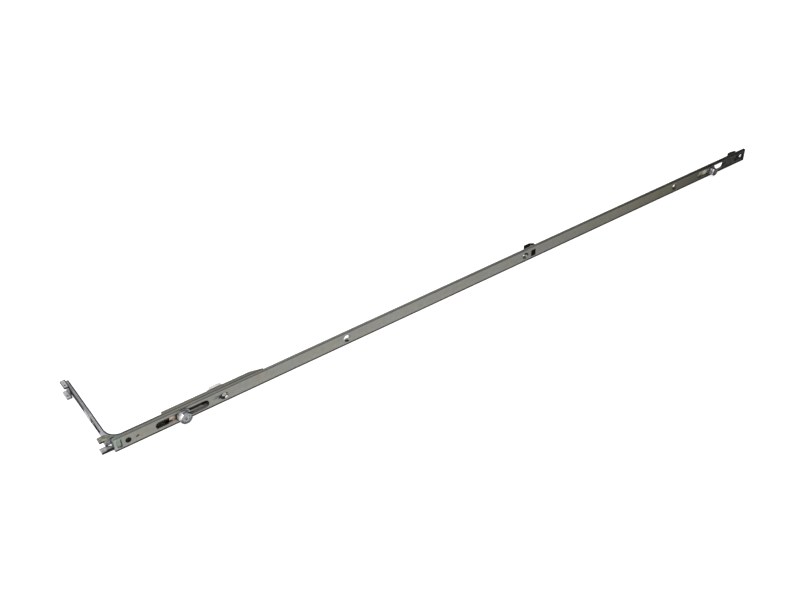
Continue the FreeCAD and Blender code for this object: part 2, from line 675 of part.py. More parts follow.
# -------------------------------------------------------------- 10 short leg
r_lo, r_hi = "midZ-railH/2", "midZ+railH/2"
rail = fuse("short_guide_rail_solid",
            box("rail_base", "railXb-railWall", "railXb", "railYa", "railYb", r_lo, r_hi),
            box("rail_low", "railXa", "railXb-railWall", "railYa", "railYb", r_lo, r_lo + "+railWall"),
            box("rail_high", "railXa", "railXb-railWall", "railYa", "railYb", r_hi + "-railWall", r_hi))
node("short_guide_rail", rail)
bridge = fuse("guide_bridge_solid",
              box("bridge_web", "railXa-bridgeT", "railXa", "bridgeYa", "bridgeYb", r_lo + "-bridgeT", r_hi + "+bridgeT"),
              box("bridge_low", "railXa", "railXb", "bridgeYa", "bridgeYb", r_lo + "-bridgeT", r_lo),
              box("bridge_high", "railXa", "railXb", "bridgeYa", "bridgeYb", r_hi, r_hi + "+bridgeT"))
node("guide_bridge_clip", bridge)

b_lo, b_hi = "midZ-barH/2", "midZ+barH/2"
web_in = "railXa-0.1"
bar = fuse("bar_blank",
           box("bar_strip", "barXa", "barXb", "barYa", "barYb", b_lo, b_hi),
           box("bar_thick", "barXa", "barXc", "barYc", "barYb", b_lo, b_hi),
           box("bar_land", web_in, "barXa", "clevYa", "barYb", b_lo, b_hi))
bar_holes = [cyl("bar_hole_" + c, 1.3, 8, 1, y, "midZ", Rot(V(0, 1, 0), -90)) for c, y in
             (("a", "barYa+3.5"), ("b", "barYa+9.5"), ("c", "clevYa+2.6"), ("d", "clevYb-3"))]
node("short_drive_bar", cut("short_drive_bar_cut", bar, *bar_holes))
node("bar_band_rivets", group("bar_band_rivets_group",
                              cyl("bar_rivet_a", 1.28, "barXb-barXa", "barXb", "barYa+3.5", "midZ", Rot(V(0, 1, 0), -90)),
                              cyl("bar_rivet_b", 1.28, "barXb-barXa", "barXb", "barYa+9.5", "midZ", Rot(V(0, 1, 0), -90))))

web_out = web_in + "-clevWeb"


def ear(name, za, zb):
    pts = [(web_in, "clevYa"), (web_in, "clevYb"), ("clevX+0.9", "clevYb"), ("clevX", "clevYb-0.9"),
           ("clevX", "clevYa+0.9"), ("clevX+0.9", "clevYa")]
    return flat_poly(name, pts, za, zb)


clevis = cut("tip_clevis_cut",
             fuse("tip_clevis_blank",
                  box("clevis_web", web_out, web_in, "clevYa", "clevYb", 0, "faceW"),
                  ear("clevis_ear_low", "0.0", "plateT"),
                  ear("clevis_ear_high", "faceW-plateT", "faceW")),
             cyl("clevis_pin_hole", "clevPinR", 20, "clevPinX", "clevPinY", -2),
             cyl("clevis_dimple_low", "dimpleR", "dimpleD+1", "dimpleX", "dimpleY", -1),
             cyl("clevis_dimple_high", "dimpleR", "dimpleD+1", "dimpleX", "dimpleY", "faceW-dimpleD"),
             cyl("clevis_riv_a", 1.3, 2.4, -2.7, "clevYa+2.6", "midZ", Rot(V(0, 1, 0), -90)),
             cyl("clevis_riv_b", 1.3, 2.4, -2.7, "clevYb-3", "midZ", Rot(V(0, 1, 0), -90)))
node("tip_clevis", clevis)
riv_len = "barXc-(%s)+0.35" % web_out
node("clevis_rivets", group("clevis_rivets_group",
                            cyl("clevis_rivet_a", 1.28, riv_len, "barXc", "clevYa+2.6", "midZ", Rot(V(0, 1, 0), -90)),
                            cyl("clevis_rivet_b", 1.28, riv_len, "barXc", "clevYb-3", "midZ", Rot(V(0, 1, 0), -90))))

# -------------------------------------------------- 11 cover behind the near cam
outer = flat_poly("cover_outer", [("coverXa", "faceT/2"), ("coverXc", "faceT/2"), ("coverXc", "coverYc"),
                                  ("coverXb", "coverY"), ("coverXa", "coverY")], g_lo, g_hi)
inner = flat_poly("cover_inner", [("coverXa-1", "faceT/2-1"), ("coverXc+1", "faceT/2-1"),
                                  ("coverXc+1", "coverYc-coverWall"), ("coverXb-0.4", "coverY-coverWall"),
                                  ("coverXa-1", "coverY-coverWall")],
                  g_lo + "+coverSide", g_hi + "-coverSide")
lip = box("cover_end_lip", "coverXa", "coverXa+coverWall", "coverLip", "coverY-0.2", g_lo, g_hi)
cover = cut("rail_cover_cut", fuse("rail_cover_blank", cut("cover_shell", outer, inner), lip),
            box("cover_window", "coverWinXa", "coverWinXb", "coverY-2", "coverY+1", "midZ-coverWinH/2", "midZ+coverWinH/2"))
node("rail_cover", cover)

# ----------------------------------------------------------- 12 nylon stud
stud = fuse("nylon_stud_solid",
            cyl("nylon_nose", "studR-0.1", "faceT/2-0.1", "studX", "faceT/2", "midZ", TO_FRONT),
            box("nylon_stem", "studX-2", "studX+2", "faceT/2", "nylYa", "midZ-1.8", "midZ+1.8"),
            box("nylon_block", "nylXa", "nylXb", "nylYa", "nylYb", "midZ-nylH/2", "midZ+nylH/2"),
            box("nylon_boss", "nylXa", "nylXc", "nylYb", "nylYc", "midZ-nylBossH/2", "midZ+nylBossH/2"),
            flat_poly("nylon_cap", [("capXa", "coverY+0.1"), ("nylXc", "coverY+0.1"), ("nylXc", "capYb-1.6"),
                                    ("nylXc-2.2", "capYb"), ("capXa+0.6", "capYb"), ("capXa", "capYb-0.6")],
                      "midZ-capH/2", "midZ+capH/2"))
node("nylon_guide_stud", cut("nylon_stud_cut", stud, cyl("nylon_bore", "nylBore", 4, "studX", "faceT/2+2", "midZ", TO_FRONT)))

# ------------------------------------------------------- 13 clip at mid length
clip = fuse("mid_clip_solid",
            flat_poly("clip_back", [("clipXa", "clipYa"), ("clipXb", "clipYa"), ("clipXb", "clipYb-2.8"),
                                    ("clipXb-4.2", "clipYb"), ("clipXa", "clipYb")], g_lo, g_hi),
            box("clip_low", "clipXa", "clipXb", "faceT/2", "clipYa", g_lo, g_lo + "+clipSide"),
            box("clip_high", "clipXa", "clipXb", "faceT/2", "clipYa", g_hi + "-clipSide", g_hi),
            box("clip_tongue", "clipXa-2.6", "clipXa", "clipYa", "clipYa+0.8", "midZ-2.5", "midZ+2.5"),
            box("clip_stem", "winX-1.5", "winX+1.5", "faceT/2", "clipYa", "midZ-1.8", "midZ+1.8"),
            box("clip_foot", "winX-winW/2+0.1", "winX+winW/2-0.1", "-faceT/2+0.2", "faceT/2+0.15", "midZ-winH/2+0.1", "midZ+winH/2-0.1"))
node("mid_guide_clip", clip)

# ------------------------------------------------------------------- write
doc.recompute()
bad = []
for o in doc.Objects:
    if "Invalid" in o.State or "Error" in o.State:
        bad.append("%s is %s" % (o.Name, o.State))
expected_solids = {"shoe_rivets": 2, "backing_rivets": 2, "end_block_rivets": 2, "corner_rivets": 2,
                   "bar_band_rivets": 2, "clevis_rivets": 2}
for name, obj in nodes.items():
    shape = obj.Shape
    if shape.isNull() or not shape.isValid():
        bad.append(name + " has no valid shape")
        continue
    n = len(shape.Solids)
    if n != expected_solids.get(name, 1):
        bad.append("%s has %d solids" % (name, n))
if bad:
    print("\n".join(bad))
    sys.exit(1)

os.makedirs("parts", exist_ok=True)
for name, obj in nodes.items():
    obj.Shape.exportStep("parts/%s.step" % name)
    bb = obj.Shape.BoundBox
    print("%-22s %9.1f mm3  x %.2f..%.2f  y %.2f..%.2f  z %.2f..%.2f" % (
        name, obj.Shape.Volume, bb.XMin, bb.XMax, bb.YMin, bb.YMax, bb.ZMin, bb.ZMax))
print(len(nodes), "nodes")
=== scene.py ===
import json
import math

import bmesh
import bpy
from mathutils import Matrix, Vector


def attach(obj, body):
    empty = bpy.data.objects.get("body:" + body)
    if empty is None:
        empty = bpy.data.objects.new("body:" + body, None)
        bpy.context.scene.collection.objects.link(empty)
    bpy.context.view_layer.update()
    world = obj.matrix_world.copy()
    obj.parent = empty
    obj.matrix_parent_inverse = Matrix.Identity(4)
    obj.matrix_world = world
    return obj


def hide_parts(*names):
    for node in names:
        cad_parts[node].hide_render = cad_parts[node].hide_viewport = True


# Window espagnolette with corner drive.  Metres; X along the long leg away
# from the corner, Y along the short leg, Z up across the 16 mm width.

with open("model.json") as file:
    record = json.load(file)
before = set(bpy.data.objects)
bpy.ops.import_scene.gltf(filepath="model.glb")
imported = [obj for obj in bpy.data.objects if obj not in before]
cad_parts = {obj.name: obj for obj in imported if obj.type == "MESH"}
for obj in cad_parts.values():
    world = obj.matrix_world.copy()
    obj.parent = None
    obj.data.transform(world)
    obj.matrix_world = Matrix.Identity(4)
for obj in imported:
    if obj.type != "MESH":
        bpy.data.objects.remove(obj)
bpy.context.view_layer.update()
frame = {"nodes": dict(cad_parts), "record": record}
nodes = frame["nodes"]
scene = bpy.context.scene
MM = 0.001

node_body = {n: b for b, ns in frame["record"]["behaviour"]["bodies"].items() for n in ns}
node_slot = {s["node"]: s["material_slot"] for s in frame["record"]["subparts"]}


# --------------------------------------------------------------------- camera
def make_camera():
    data = bpy.data.cameras.new("camera")
    cam = bpy.data.objects.new("camera", data)
    scene.collection.objects.link(cam)
    back = Vector((-0.448841, -0.647451, 0.615913)).normalized()
    up = Vector((0.370832, 0.492139, 0.787580))
    up = (up - back * up.dot(back)).normalized()
    right = up.cross(back)
    loc = Vector((-0.183427, -0.736439, 0.725994))
    cam.matrix_world = Matrix(((right.x, up.x, back.x, loc.x),
                               (right.y, up.y, back.y, loc.y),
                               (right.z, up.z, back.z, loc.z),
                               (0, 0, 0, 1)))
    data.sensor_fit = "HORIZONTAL"
    data.sensor_width = 36.0
    data.lens = 48.572
    data.clip_start = 0.02
    data.clip_end = 50.0
    scene.camera = cam


make_camera()


# ---------------------------------------------------------------- node helpers
class Tree:
    """Small helper to write shader trees."""

    def __init__(self, tree):
        self.t = tree
        self.dull = None          # where the plating is matt and pale
        self.black = None         # where it is blackened, as painted shade or as a black part, without any sheen

    def n(self, kind, **props):
        node = self.t.nodes.new(kind)
        ins = props.pop("ins", {})
        for k, v in props.items():
            setattr(node, k, v)
        for k, v in ins.items():
            sock = node.inputs[k]
            if isinstance(v, bpy.types.NodeSocket):
                self.t.links.new(v, sock)
            else:
                sock.default_value = v
        return node

    def math(self, op, a, b=None, c=None, clamp=False):
        node = self.t.nodes.new("ShaderNodeMath")
        node.operation = op
        node.use_clamp = clamp
        for i, v in enumerate((a, b, c)):
            if v is None:
                continue
            if isinstance(v, bpy.types.NodeSocket):
                self.t.links.new(v, node.inputs[i])
            else:
                node.inputs[i].default_value = v
        return node.outputs[0]

    def mix(self, fac, a, b, mode="MIX"):
        node = self.t.nodes.new("ShaderNodeMix")
        node.data_type = "RGBA"
        node.blend_type = mode
        node.clamp_result = False
        for sock, v in ((node.inputs[0], fac), (node.inputs[6], a), (node.inputs[7], b)):
            if isinstance(v, bpy.types.NodeSocket):
                self.t.links.new(v, sock)
            elif isinstance(v, (int, float)):
                sock.default_value = v
            else:
                sock.default_value = (*v, 1.0) if len(v) == 3 else v
        return node.outputs[2]

    def ramp(self, fac, *stops, interp="LINEAR"):
        node = self.t.nodes.new("ShaderNodeValToRGB")
        self.t.links.new(fac, node.inputs[0])
        cr = node.color_ramp
        cr.interpolation = interp
        while len(cr.elements) < len(stops):
            cr.elements.new(0.5)
        for e, (pos, col) in zip(cr.elements, stops):
            e.position = pos
            e.color = (col, col, col, 1.0) if isinstance(col, (int, float)) else (*col, 1.0)
        return node.outputs[0]

    def noise(self, vec, scale, detail=3.0, rough=0.55, distort=0.0):
        node = self.n("ShaderNodeTexNoise", ins={"Scale": scale, "Detail": detail, "Roughness": rough,
                                                "Distortion": distort})
        self.t.links.new(vec, node.inputs["Vector"])
        return node.outputs[0]

    def mm(self, scale=(1.0, 1.0, 1.0), offset=(0.0, 0.0, 0.0)):
        """Object coordinates in millimetres, stretched."""
        co = self.n("ShaderNodeTexCoord")
        mp = self.n("ShaderNodeMapping")
        self.t.links.new(co.outputs["Object"], mp.inputs["Vector"])
        mp.inputs["Scale"].default_value = [1000.0 * s for s in scale]
        mp.inputs["Location"].default_value = offset
        return mp.outputs[0]


def edge_mask(t, radius_mm):
    """1 along convex and concave edges, 0 on flat faces."""
    bev = t.n("ShaderNodeBevel", samples=4, ins={"Radius": radius_mm * MM})
    geo = t.n("ShaderNodeNewGeometry")
    dot = t.n("ShaderNodeVectorMath", operation="DOT_PRODUCT")
    t.t.links.new(bev.outputs[0], dot.inputs[0])
    t.t.links.new(geo.outputs["Normal"], dot.inputs[1])
    return t.math("MULTIPLY", t.math("SUBTRACT", 1.0, dot.outputs["Value"]), 6.0, clamp=True)


def crevice(t, dist_mm):
    ao = t.n("ShaderNodeAmbientOcclusion", samples=6, ins={"Distance": dist_mm * MM})
    return ao.outputs["AO"]


def new_material(name):
    mat = bpy.data.materials.new(name)
    mat.use_nodes = True
    mat.node_tree.nodes.clear()
    t = Tree(mat.node_tree)
    out = t.n("ShaderNodeOutputMaterial")
    bsdf = t.n("ShaderNodeBsdfPrincipled")
    t.t.links.new(bsdf.outputs[0], out.inputs[0])
    return mat, t, bsdf


def metal(name, base, warm=None, rough=0.36, grain=(0.03, 2.6, 2.6), grain_amt=0.10, blotch=0.10,
          speck=0.05, bump=0.25, edge=0.35, edge_r=0.22, crevice_shade=0.45, crevice_shade_mm=1.6, fade=None, metallic=1.0):
    """Plated steel: drawn grain, cloudy passivation, scratches, bright worn edges with a painted edge highlight,
    painted shade in the corners.
    """
    mat, t, bsdf = new_material(name)
    warm = warm or tuple(c * k for c, k in zip(base, (1.06, 1.0, 0.90)))
    cloud = t.noise(t.mm(), 0.055, 4.0, 0.6, 0.6)
    cloud2 = t.noise(t.mm(offset=(40.0, 7.0, 3.0)), 0.23, 3.0, 0.6)
    lines = t.noise(t.mm(grain), 1.0, 4.0, 0.65)
    fine = t.noise(t.mm(tuple(g * 3.1 for g in grain), (9.0, 3.0, 1.0)), 1.0, 3.0, 0.7)
    grit = t.noise(t.mm(offset=(3.0, 5.0, 8.0)), 2.4, 2.0, 0.6)

    col = t.mix(t.ramp(cloud, (0.35, 0.0), (0.68, 1.0)), base, warm)
    if fade is not None:
        col = fade(t, col)
    shade = t.math("MULTIPLY_ADD", t.ramp(cloud2, (0.25, 0.0), (0.75, 1.0)), 2.0 * blotch, 1.0 - blotch)
    shade = t.math("MULTIPLY", shade, t.math("MULTIPLY_ADD", t.ramp(lines, (0.28, 0.0), (0.72, 1.0)), 2.0 * grain_amt, 1.0 - grain_amt))
    shade = t.math("MULTIPLY", shade, t.math("MULTIPLY_ADD", grit, 2.0 * speck, 1.0 - speck))
    comb = t.n("ShaderNodeCombineColor")
    for i in range(3):
        t.t.links.new(shade, comb.inputs[i])
    col = t.mix(1.0, col, comb.outputs[0], "MULTIPLY")

    # long fine scratches, brighter than the plating
    scr = t.noise(t.mm((0.018, 5.5, 5.5), (2.0, 8.0, 4.0)), 1.0, 2.0, 0.5)
    scr = t.ramp(scr, (0.70, 0.0), (0.76, 1.0))
    scr = t.math("MULTIPLY", scr, t.ramp(t.noise(t.mm(offset=(1.0, 2.0, 3.0)), 0.11, 2.0), (0.48, 0.0), (0.60, 1.0)))
    col = t.mix(t.math("MULTIPLY", scr, 0.35), col, tuple(min(1.0, c * 1.7) for c in base))

    clean = t.math("SUBTRACT", 1.0, t.black) if t.black is not None else None
    # bright worn edges, partly a painted edge highlight
    if edge > 0:
        em = t.math("MULTIPLY", edge_mask(t, edge_r), edge)
        if clean is not None:
            em = t.math("MULTIPLY", em, clean)
        em = t.math("MULTIPLY", em, t.math("MULTIPLY_ADD", t.noise(t.mm(offset=(5.0, 1.0, 2.0)), 0.7, 3.0), 1.2, 0.2), clamp=True)
        col = t.mix(em, col, tuple(min(1.0, c * 1.55) for c in base))
    # painted shade in crevices: darker where the ambient occlusion is deep
    if crevice_shade > 0:
        ao = crevice(t, crevice_shade_mm)
        shade_in_crevices = t.math("MULTIPLY", t.math("SUBTRACT", 1.0, ao), crevice_shade, clamp=True)
        shade_in_crevices = t.math("MULTIPLY", shade_in_crevices, t.math("MULTIPLY_ADD", t.noise(t.mm(offset=(8.0, 1.0, 9.0)), 0.5, 4.0), 1.0, 0.5), clamp=True)
        if clean is not None:
            shade_in_crevices = t.math("MULTIPLY", shade_in_crevices, clean)
        col = t.mix(shade_in_crevices, col, (0.045, 0.042, 0.036))
    t.t.links.new(col, bsdf.inputs["Base Color"])

    shiny = t.math("SUBTRACT", 1.0, t.dull) if t.dull is not None else None
    if clean is not None:
        shiny = clean if shiny is None else t.math("MULTIPLY", shiny, clean)
        t.t.links.new(t.math("MULTIPLY", clean, 0.5), bsdf.inputs["Specular IOR Level"])
    if shiny is not None:
        t.t.links.new(t.math("MULTIPLY", shiny, metallic), bsdf.inputs["Metallic"])
    else:
        bsdf.inputs["Metallic"].default_value = metallic
    r = t.math("MULTIPLY_ADD", t.ramp(lines, (0.25, 0.0), (0.75, 1.0)), 0.12, rough - 0.06)
    r = t.math("ADD", r, t.math("MULTIPLY_ADD", cloud2, 0.10, -0.05))
    r = t.math("ADD", r, t.math("MULTIPLY", scr, -0.06))
    t.t.links.new(r, bsdf.inputs["Roughness"])

    height = t.math("ADD", t.math("MULTIPLY", fine, 0.6), t.math("MULTIPLY", grit, 0.4))
    bm_node = t.n("ShaderNodeBump", ins={"Strength": bump, "Distance": 0.02 * MM})
    t.t.links.new(height, bm_node.inputs["Height"])
    t.t.links.new(bm_node.outputs[0], bsdf.inputs["Normal"])
    return mat


def plastic(name, base, rough=0.5, speck=0.08, bump=0.3, grain_scale=3.0, subsurface=None, edge=0.0, shine=0.5):
    """Moulded plastic with a fine spark-eroded texture."""
    mat, t, bsdf = new_material(name)
    cloud = t.noise(t.mm(), 0.18, 3.0, 0.6)
    grit = t.noise(t.mm(offset=(3.0, 5.0, 8.0)), grain_scale, 3.0, 0.65)
    shade = t.math("MULTIPLY_ADD", t.ramp(cloud, (0.3, 0.0), (0.7, 1.0)), 0.14, 0.93)
    shade = t.math("MULTIPLY", shade, t.math("MULTIPLY_ADD", grit, 2.0 * speck, 1.0 - speck))
    comb = t.n("ShaderNodeCombineColor")
    for i in range(3):
        t.t.links.new(shade, comb.inputs[i])
    col = t.mix(1.0, base, comb.outputs[0], "MULTIPLY")
    # brighter worn edges, partly a painted edge highlight
    if edge:
        em = t.math("MULTIPLY", edge_mask(t, 0.25), edge)
        col = t.mix(em, col, tuple(min(1.0, c * 2.0 + 0.01) for c in base))
    t.t.links.new(col, bsdf.inputs["Base Color"])
    r = t.math("MULTIPLY_ADD", grit, 0.16, rough - 0.08)
    t.t.links.new(r, bsdf.inputs["Roughness"])
    bsdf.inputs["Specular IOR Level"].default_value = shine
    if subsurface:
        bsdf.inputs["Subsurface Weight"].default_value = subsurface
        bsdf.inputs["Subsurface Radius"].default_value = (1.0, 0.9, 0.85)
        bsdf.inputs["Subsurface Scale"].default_value = 2.0 * MM
    bm_node = t.n("ShaderNodeBump", ins={"Strength": bump, "Distance": 0.03 * MM})
    t.t.links.new(grit, bm_node.inputs["Height"])
    t.t.links.new(bm_node.outputs[0], bsdf.inputs["Normal"])
    return mat


def part_xyz(t):
    """Part coordinates in millimetres."""
    co = t.n("ShaderNodeTexCoord")
    sep = t.n("ShaderNodeSeparateXYZ")
    t.t.links.new(co.outputs["Object"], sep.inputs[0])
    return [t.math("MULTIPLY", sep.outputs[i], 1000.0) for i in range(3)]


def normal_xyz(t):
    geo = t.n("ShaderNodeNewGeometry")
    sep = t.n("ShaderNodeSeparateXYZ")
    t.t.links.new(geo.outputs["True Normal"], sep.inputs[0])
    return sep.outputs


def step(t, v, at, soft):
    """0 below, 1 above, over a soft edge; a negative edge runs the other way."""
    return t.math("DIVIDE", t.math("SUBTRACT", v, at - soft / 2.0), soft, clamp=True)


def both(t, *masks):
    out = masks[0]
    for m in masks[1:]:
        out = t.math("MULTIPLY", out, m)
    return out


def blacken(t, mask, col, amount=0.95, tone=(0.008, 0.008, 0.008)):
    """Blackens the colour under a mask and takes its sheen away: used for painted shade and for black parts."""
    m = t.math("MULTIPLY", mask, amount)
    t.black = m if t.black is None else t.math("MAXIMUM", t.black, m)
    return t.mix(m, col, tone)


def far_end_shade(t, col):
    """Painted shade: the colour turns darker and browner towards the far end of the long leg."""
    x = part_xyz(t)[0]
    wander = t.math("MULTIPLY_ADD", t.noise(t.mm((1.0, 1.0, 1.0), (11.0, 3.0, 6.0)), 0.03, 3.0, 0.6), 60.0, -30.0)
    f = t.math("DIVIDE", t.math("ADD", x, wander), 871.5, clamp=True)
    f = t.ramp(f, (0.36, 0.0), (0.50, 0.14), (0.64, 0.36), (0.73, 0.50), (0.82, 0.70), (0.89, 0.82), (0.955, 0.955))
    col = t.mix(f, col, (0.040, 0.038, 0.028))
    brown = t.math("DIVIDE", t.math("SUBTRACT", t.math("ADD", x, wander), 560.0), 160.0, clamp=True)
    col = t.mix(brown, col, (1.0, 0.96, 0.78), "MULTIPLY")
    deep = t.math("DIVIDE", t.math("SUBTRACT", x, 745.0), 100.0, clamp=True)
    return t.mix(deep, col, (0.22, 0.23, 0.24), "MULTIPLY")


def strip_look(t, col):
    """Faceplate: painted shade darker towards the far end, painted shade along the long edges, a cooler pressed end,
    painted highlights, painted shade and pecked wear round the holes.
    """
    x, y, z = part_xyz(t)
    nx, ny, nz = normal_xyz(t)
    rag = t.math("MULTIPLY_ADD", t.noise(t.mm((0.12, 1.0, 1.0), (4.0, 4.0, 1.0)), 1.0, 3.0), 0.5, -0.25)
    soft = t.math("MULTIPLY_ADD", t.noise(t.mm(offset=(6.0, 2.0, 1.0)), 0.5, 3.0), 3.0, -1.5)
    end = t.math("MULTIPLY", step(t, t.math("ADD", x, soft), 8.0, -4.0), 0.75)
    col = t.mix(end, col, (0.205, 0.240, 0.212))
    lip = t.math("MULTIPLY", step(t, x, 2.9, -0.5), 0.42)
    col = t.mix(lip, col, (0.275, 0.310, 0.280))
    # painted shade along the right side of the groove round the tenon of the corner block
    fx = t.math("ABSOLUTE", t.math("SUBTRACT", x, 4.8))
    fz = t.math("ABSOLUTE", t.math("SUBTRACT", z, 8.0))
    frame_in = both(t, step(t, fx, 3.0, -0.4), step(t, fz, 4.9, -0.4))
    ring_side = both(t, frame_in, step(t, t.math("ADD", x, t.math("MULTIPLY", z, -0.15)), 4.6, 1.0))
    col = blacken(t, ring_side, col, 0.85, (0.030, 0.036, 0.032))
    # near slot: painted light on the up-facing lower wall, pale, then pinkish by the shoe and dark beyond it, and
    # painted shade on its back part left of the shoe
    near = both(t, step(t, x, 44.5, 1.0), step(t, x, 97.0, -1.0))
    foot = both(t, step(t, nz, 0.5, 0.4), step(t, z, 8.0, -1.0), step(t, z, 2.0, 0.5))
    wall = both(t, near, foot)
    bare_and_lit = t.mix(step(t, x, 56.5, 2.0), (0.450, 0.480, 0.420), (0.400, 0.350, 0.320))
    bare_and_lit = t.mix(step(t, x, 64.0, 2.0), bare_and_lit, (0.130, 0.130, 0.126))
    col = t.mix(t.math("MULTIPLY", wall, 0.9), col, bare_and_lit)
    col = blacken(t, both(t, wall, step(t, x, 56.5, -2.0), step(t, y, 0.0, 0.4)), col, 0.95)
    far_wall = both(t, foot, step(t, x, 785.0, 1.0), step(t, x, 831.0, -1.0))
    # countersinks: painted highlight on the lip up and to the left, painted shade below
    wx = t.math("WRAP", t.math("SUBTRACT", x, 259.0), 121.0, -121.0)
    dz = t.math("SUBTRACT", z, 8.0)
    rad = t.math("POWER", t.math("ADD", t.math("MULTIPLY", wx, wx), t.math("MULTIPLY", dz, dz)), 0.5)
    sink = both(t, step(t, rad, 4.35, -0.2), step(t, y, -0.05, -0.2), step(t, ny, -0.97, 0.04))
    lit = step(t, t.math("ADD", t.math("MULTIPLY", wx, -0.75), t.math("MULTIPLY", dz, 0.66)), 0.3, 1.2)
    dark = step(t, t.math("ADD", t.math("MULTIPLY", wx, -0.45), t.math("MULTIPLY", dz, -0.9)), 1.9, 0.6)
    far = t.math("DIVIDE", t.math("SUBTRACT", x, 350.0), 400.0, clamp=True)
    lit = both(t, lit, t.math("MULTIPLY_ADD", far, -0.6, 1.0), step(t, dz, -0.9, 0.5))
    mid = step(t, t.math("ABSOLUTE", t.math("SUBTRACT", x, 501.0)), 7.0, -1.0)
    hid = both(t, step(t, rad, 4.2, -0.3), step(t, wx, -0.1, 0.5), step(t, dz, -0.9, 0.5), mid)
    lit = t.math("MULTIPLY", lit, t.math("SUBTRACT", 1.0, hid))
    dark = t.math("MULTIPLY", dark, t.math("MULTIPLY_ADD", mid, -0.6, 1.0))
    rim_lit = both(t, step(t, rad, 4.95, -0.3), step(t, x, 300.0, -10.0), step(t, x, 200.0, 10.0), step(t, y, -1.3, -0.2),
                   step(t, t.math("ADD", t.math("MULTIPLY", wx, -0.75), t.math("MULTIPLY", dz, 0.66)), 3.7, 0.6))
    sink_lit = t.math("MAXIMUM", sink, rim_lit)
    col = blacken(t, t.math("MAXIMUM", both(t, sink, dark), hid), col)
    # painted shade: the hole near the corner and the one at the far end stay black, with a painted glint on the far
    # one's wall
    end_rad = []
    for hx, r in ((14.2, 3.1), (865.2, 4.9)):
        ex = t.math("SUBTRACT", x, hx)
        rr = t.math("POWER", t.math("ADD", t.math("MULTIPLY", ex, ex), t.math("MULTIPLY", dz, dz)), 0.5)
        end_rad.append(both(t, step(t, rr, r, -0.4)))
    hole_shade = t.math("MAXIMUM", end_rad[0], end_rad[1])
    # painted shade: darker and browner towards the far end
    col = far_end_shade(t, col)
    # painted shade: mottled black towards the far end
    far_shade_mottle = t.ramp(t.noise(t.mm((0.6, 1.0, 1.0), (6.0, 3.0, 9.0)), 0.34, 2.0, 0.5), (0.455, 0.0), (0.515, 1.0))
    col = blacken(t, both(t, step(t, x, 815.0, 16.0), far_shade_mottle), col, 0.93, (0.006, 0.006, 0.005))
    col = t.mix(t.math("MULTIPLY", far_wall, 0.9), col, (0.120, 0.115, 0.095))
    col = t.mix(t.math("MULTIPLY", both(t, sink_lit, lit), 0.95), col, (0.92, 0.91, 0.92))
    glint = both(t, end_rad[1], step(t, nx, -0.35, -0.3), step(t, y, 0.15, 0.3))
    col = blacken(t, t.math("MULTIPLY", hole_shade, t.math("SUBTRACT", 1.0, glint)), col, 0.9)
    col = t.mix(glint, col, (0.90, 0.90, 0.88))
    # round the guide stud: painted shade on the left of its countersink and in its well, a painted highlight on its
    # lower right, worn spots, dark spots to its left partly painted shade; a pecked mark by the end hole
    sx = t.math("SUBTRACT", x, 115.0)
    sr = t.math("POWER", t.math("ADD", t.math("MULTIPLY", sx, sx), t.math("MULTIPLY", dz, dz)), 0.5)
    peck = t.ramp(t.noise(t.mm(offset=(1.0, 4.0, 7.0)), 0.42, 2.0, 0.6), (0.44, 0.0), (0.52, 1.0))
    ring = both(t, step(t, sr, 4.4, -0.5), step(t, sr, 2.4, 0.3), t.math("MAXIMUM", peck, step(t, x, 114.0, -1.0)))
    col = blacken(t, ring, col, 0.92)
    well = both(t, step(t, sr, 3.4, -0.3), step(t, z, 6.6, -0.5), step(t, x, 116.2, -0.5))
    col = blacken(t, well, col, 0.95)
    gleam = both(t, step(t, sr, 4.1, -0.3), step(t, sr, 3.0, 0.3), step(t, z, 6.2, -0.4), step(t, x, 116.0, 0.4), step(t, ny, -0.97, 0.04))
    col = t.mix(gleam, col, (0.75, 0.75, 0.75))
    spots = t.math("MAXIMUM",
                   both(t, step(t, t.math("ABSOLUTE", t.math("SUBTRACT", x, 110.2)), 1.5, -0.6),
                        step(t, t.math("ABSOLUTE", t.math("SUBTRACT", z, 8.8)), 2.2, -1.0)),
                   both(t, step(t, t.math("ABSOLUTE", t.math("SUBTRACT", x, 106.0)), 2.6, -1.0),
                        step(t, t.math("ABSOLUTE", t.math("SUBTRACT", z, 10.0)), 1.6, -0.8), peck, 0.6))
    col = blacken(t, both(t, spots, step(t, ny, -0.9, -0.1)), col, 0.85)
    for px, pz, pr, wide, amount in ((24.2, 8.4, 1.1, 1.0, 0.8), (857.2, 9.8, 2.1, 1.6, 0.98), (854.9, 6.2, 1.7, 2.2, 0.98),
                                     (868.6, 2.5, 2.0, 1.0, 0.95)):
        dx = t.math("MULTIPLY", t.math("SUBTRACT", x, px), 1.0 / wide)
        dw = t.math("SUBTRACT", z, pz)
        mark = t.math("POWER", t.math("ADD", t.math("MULTIPLY", dx, dx), t.math("MULTIPLY", dw, dw)), 0.5)
        col = blacken(t, step(t, mark, pr, -0.8), col, amount, (0.003, 0.003, 0.003))
    col = blacken(t, step(t, x, 867.6, 1.2), col, 0.9, (0.003, 0.003, 0.003))
    # painted shade round the window of the mid clip
    pane = both(t, step(t, t.math("ABSOLUTE", t.math("SUBTRACT", x, 512.4)), 3.4, -0.4), step(t, t.math("ABSOLUTE", t.math("ADD", dz, 0.4)), 4.2, -0.4))
    col = blacken(t, pane, col, 0.9)
    # painted light: the lower half of the front is lighter on the near part
    lift = t.math("MULTIPLY", step(t, z, 6.0, -5.0), step(t, x, 600.0, -200.0))
    col = t.mix(lift, col, (1.13, 1.12, 1.11), "MULTIPLY")
    zz = t.math("ADD", z, rag)
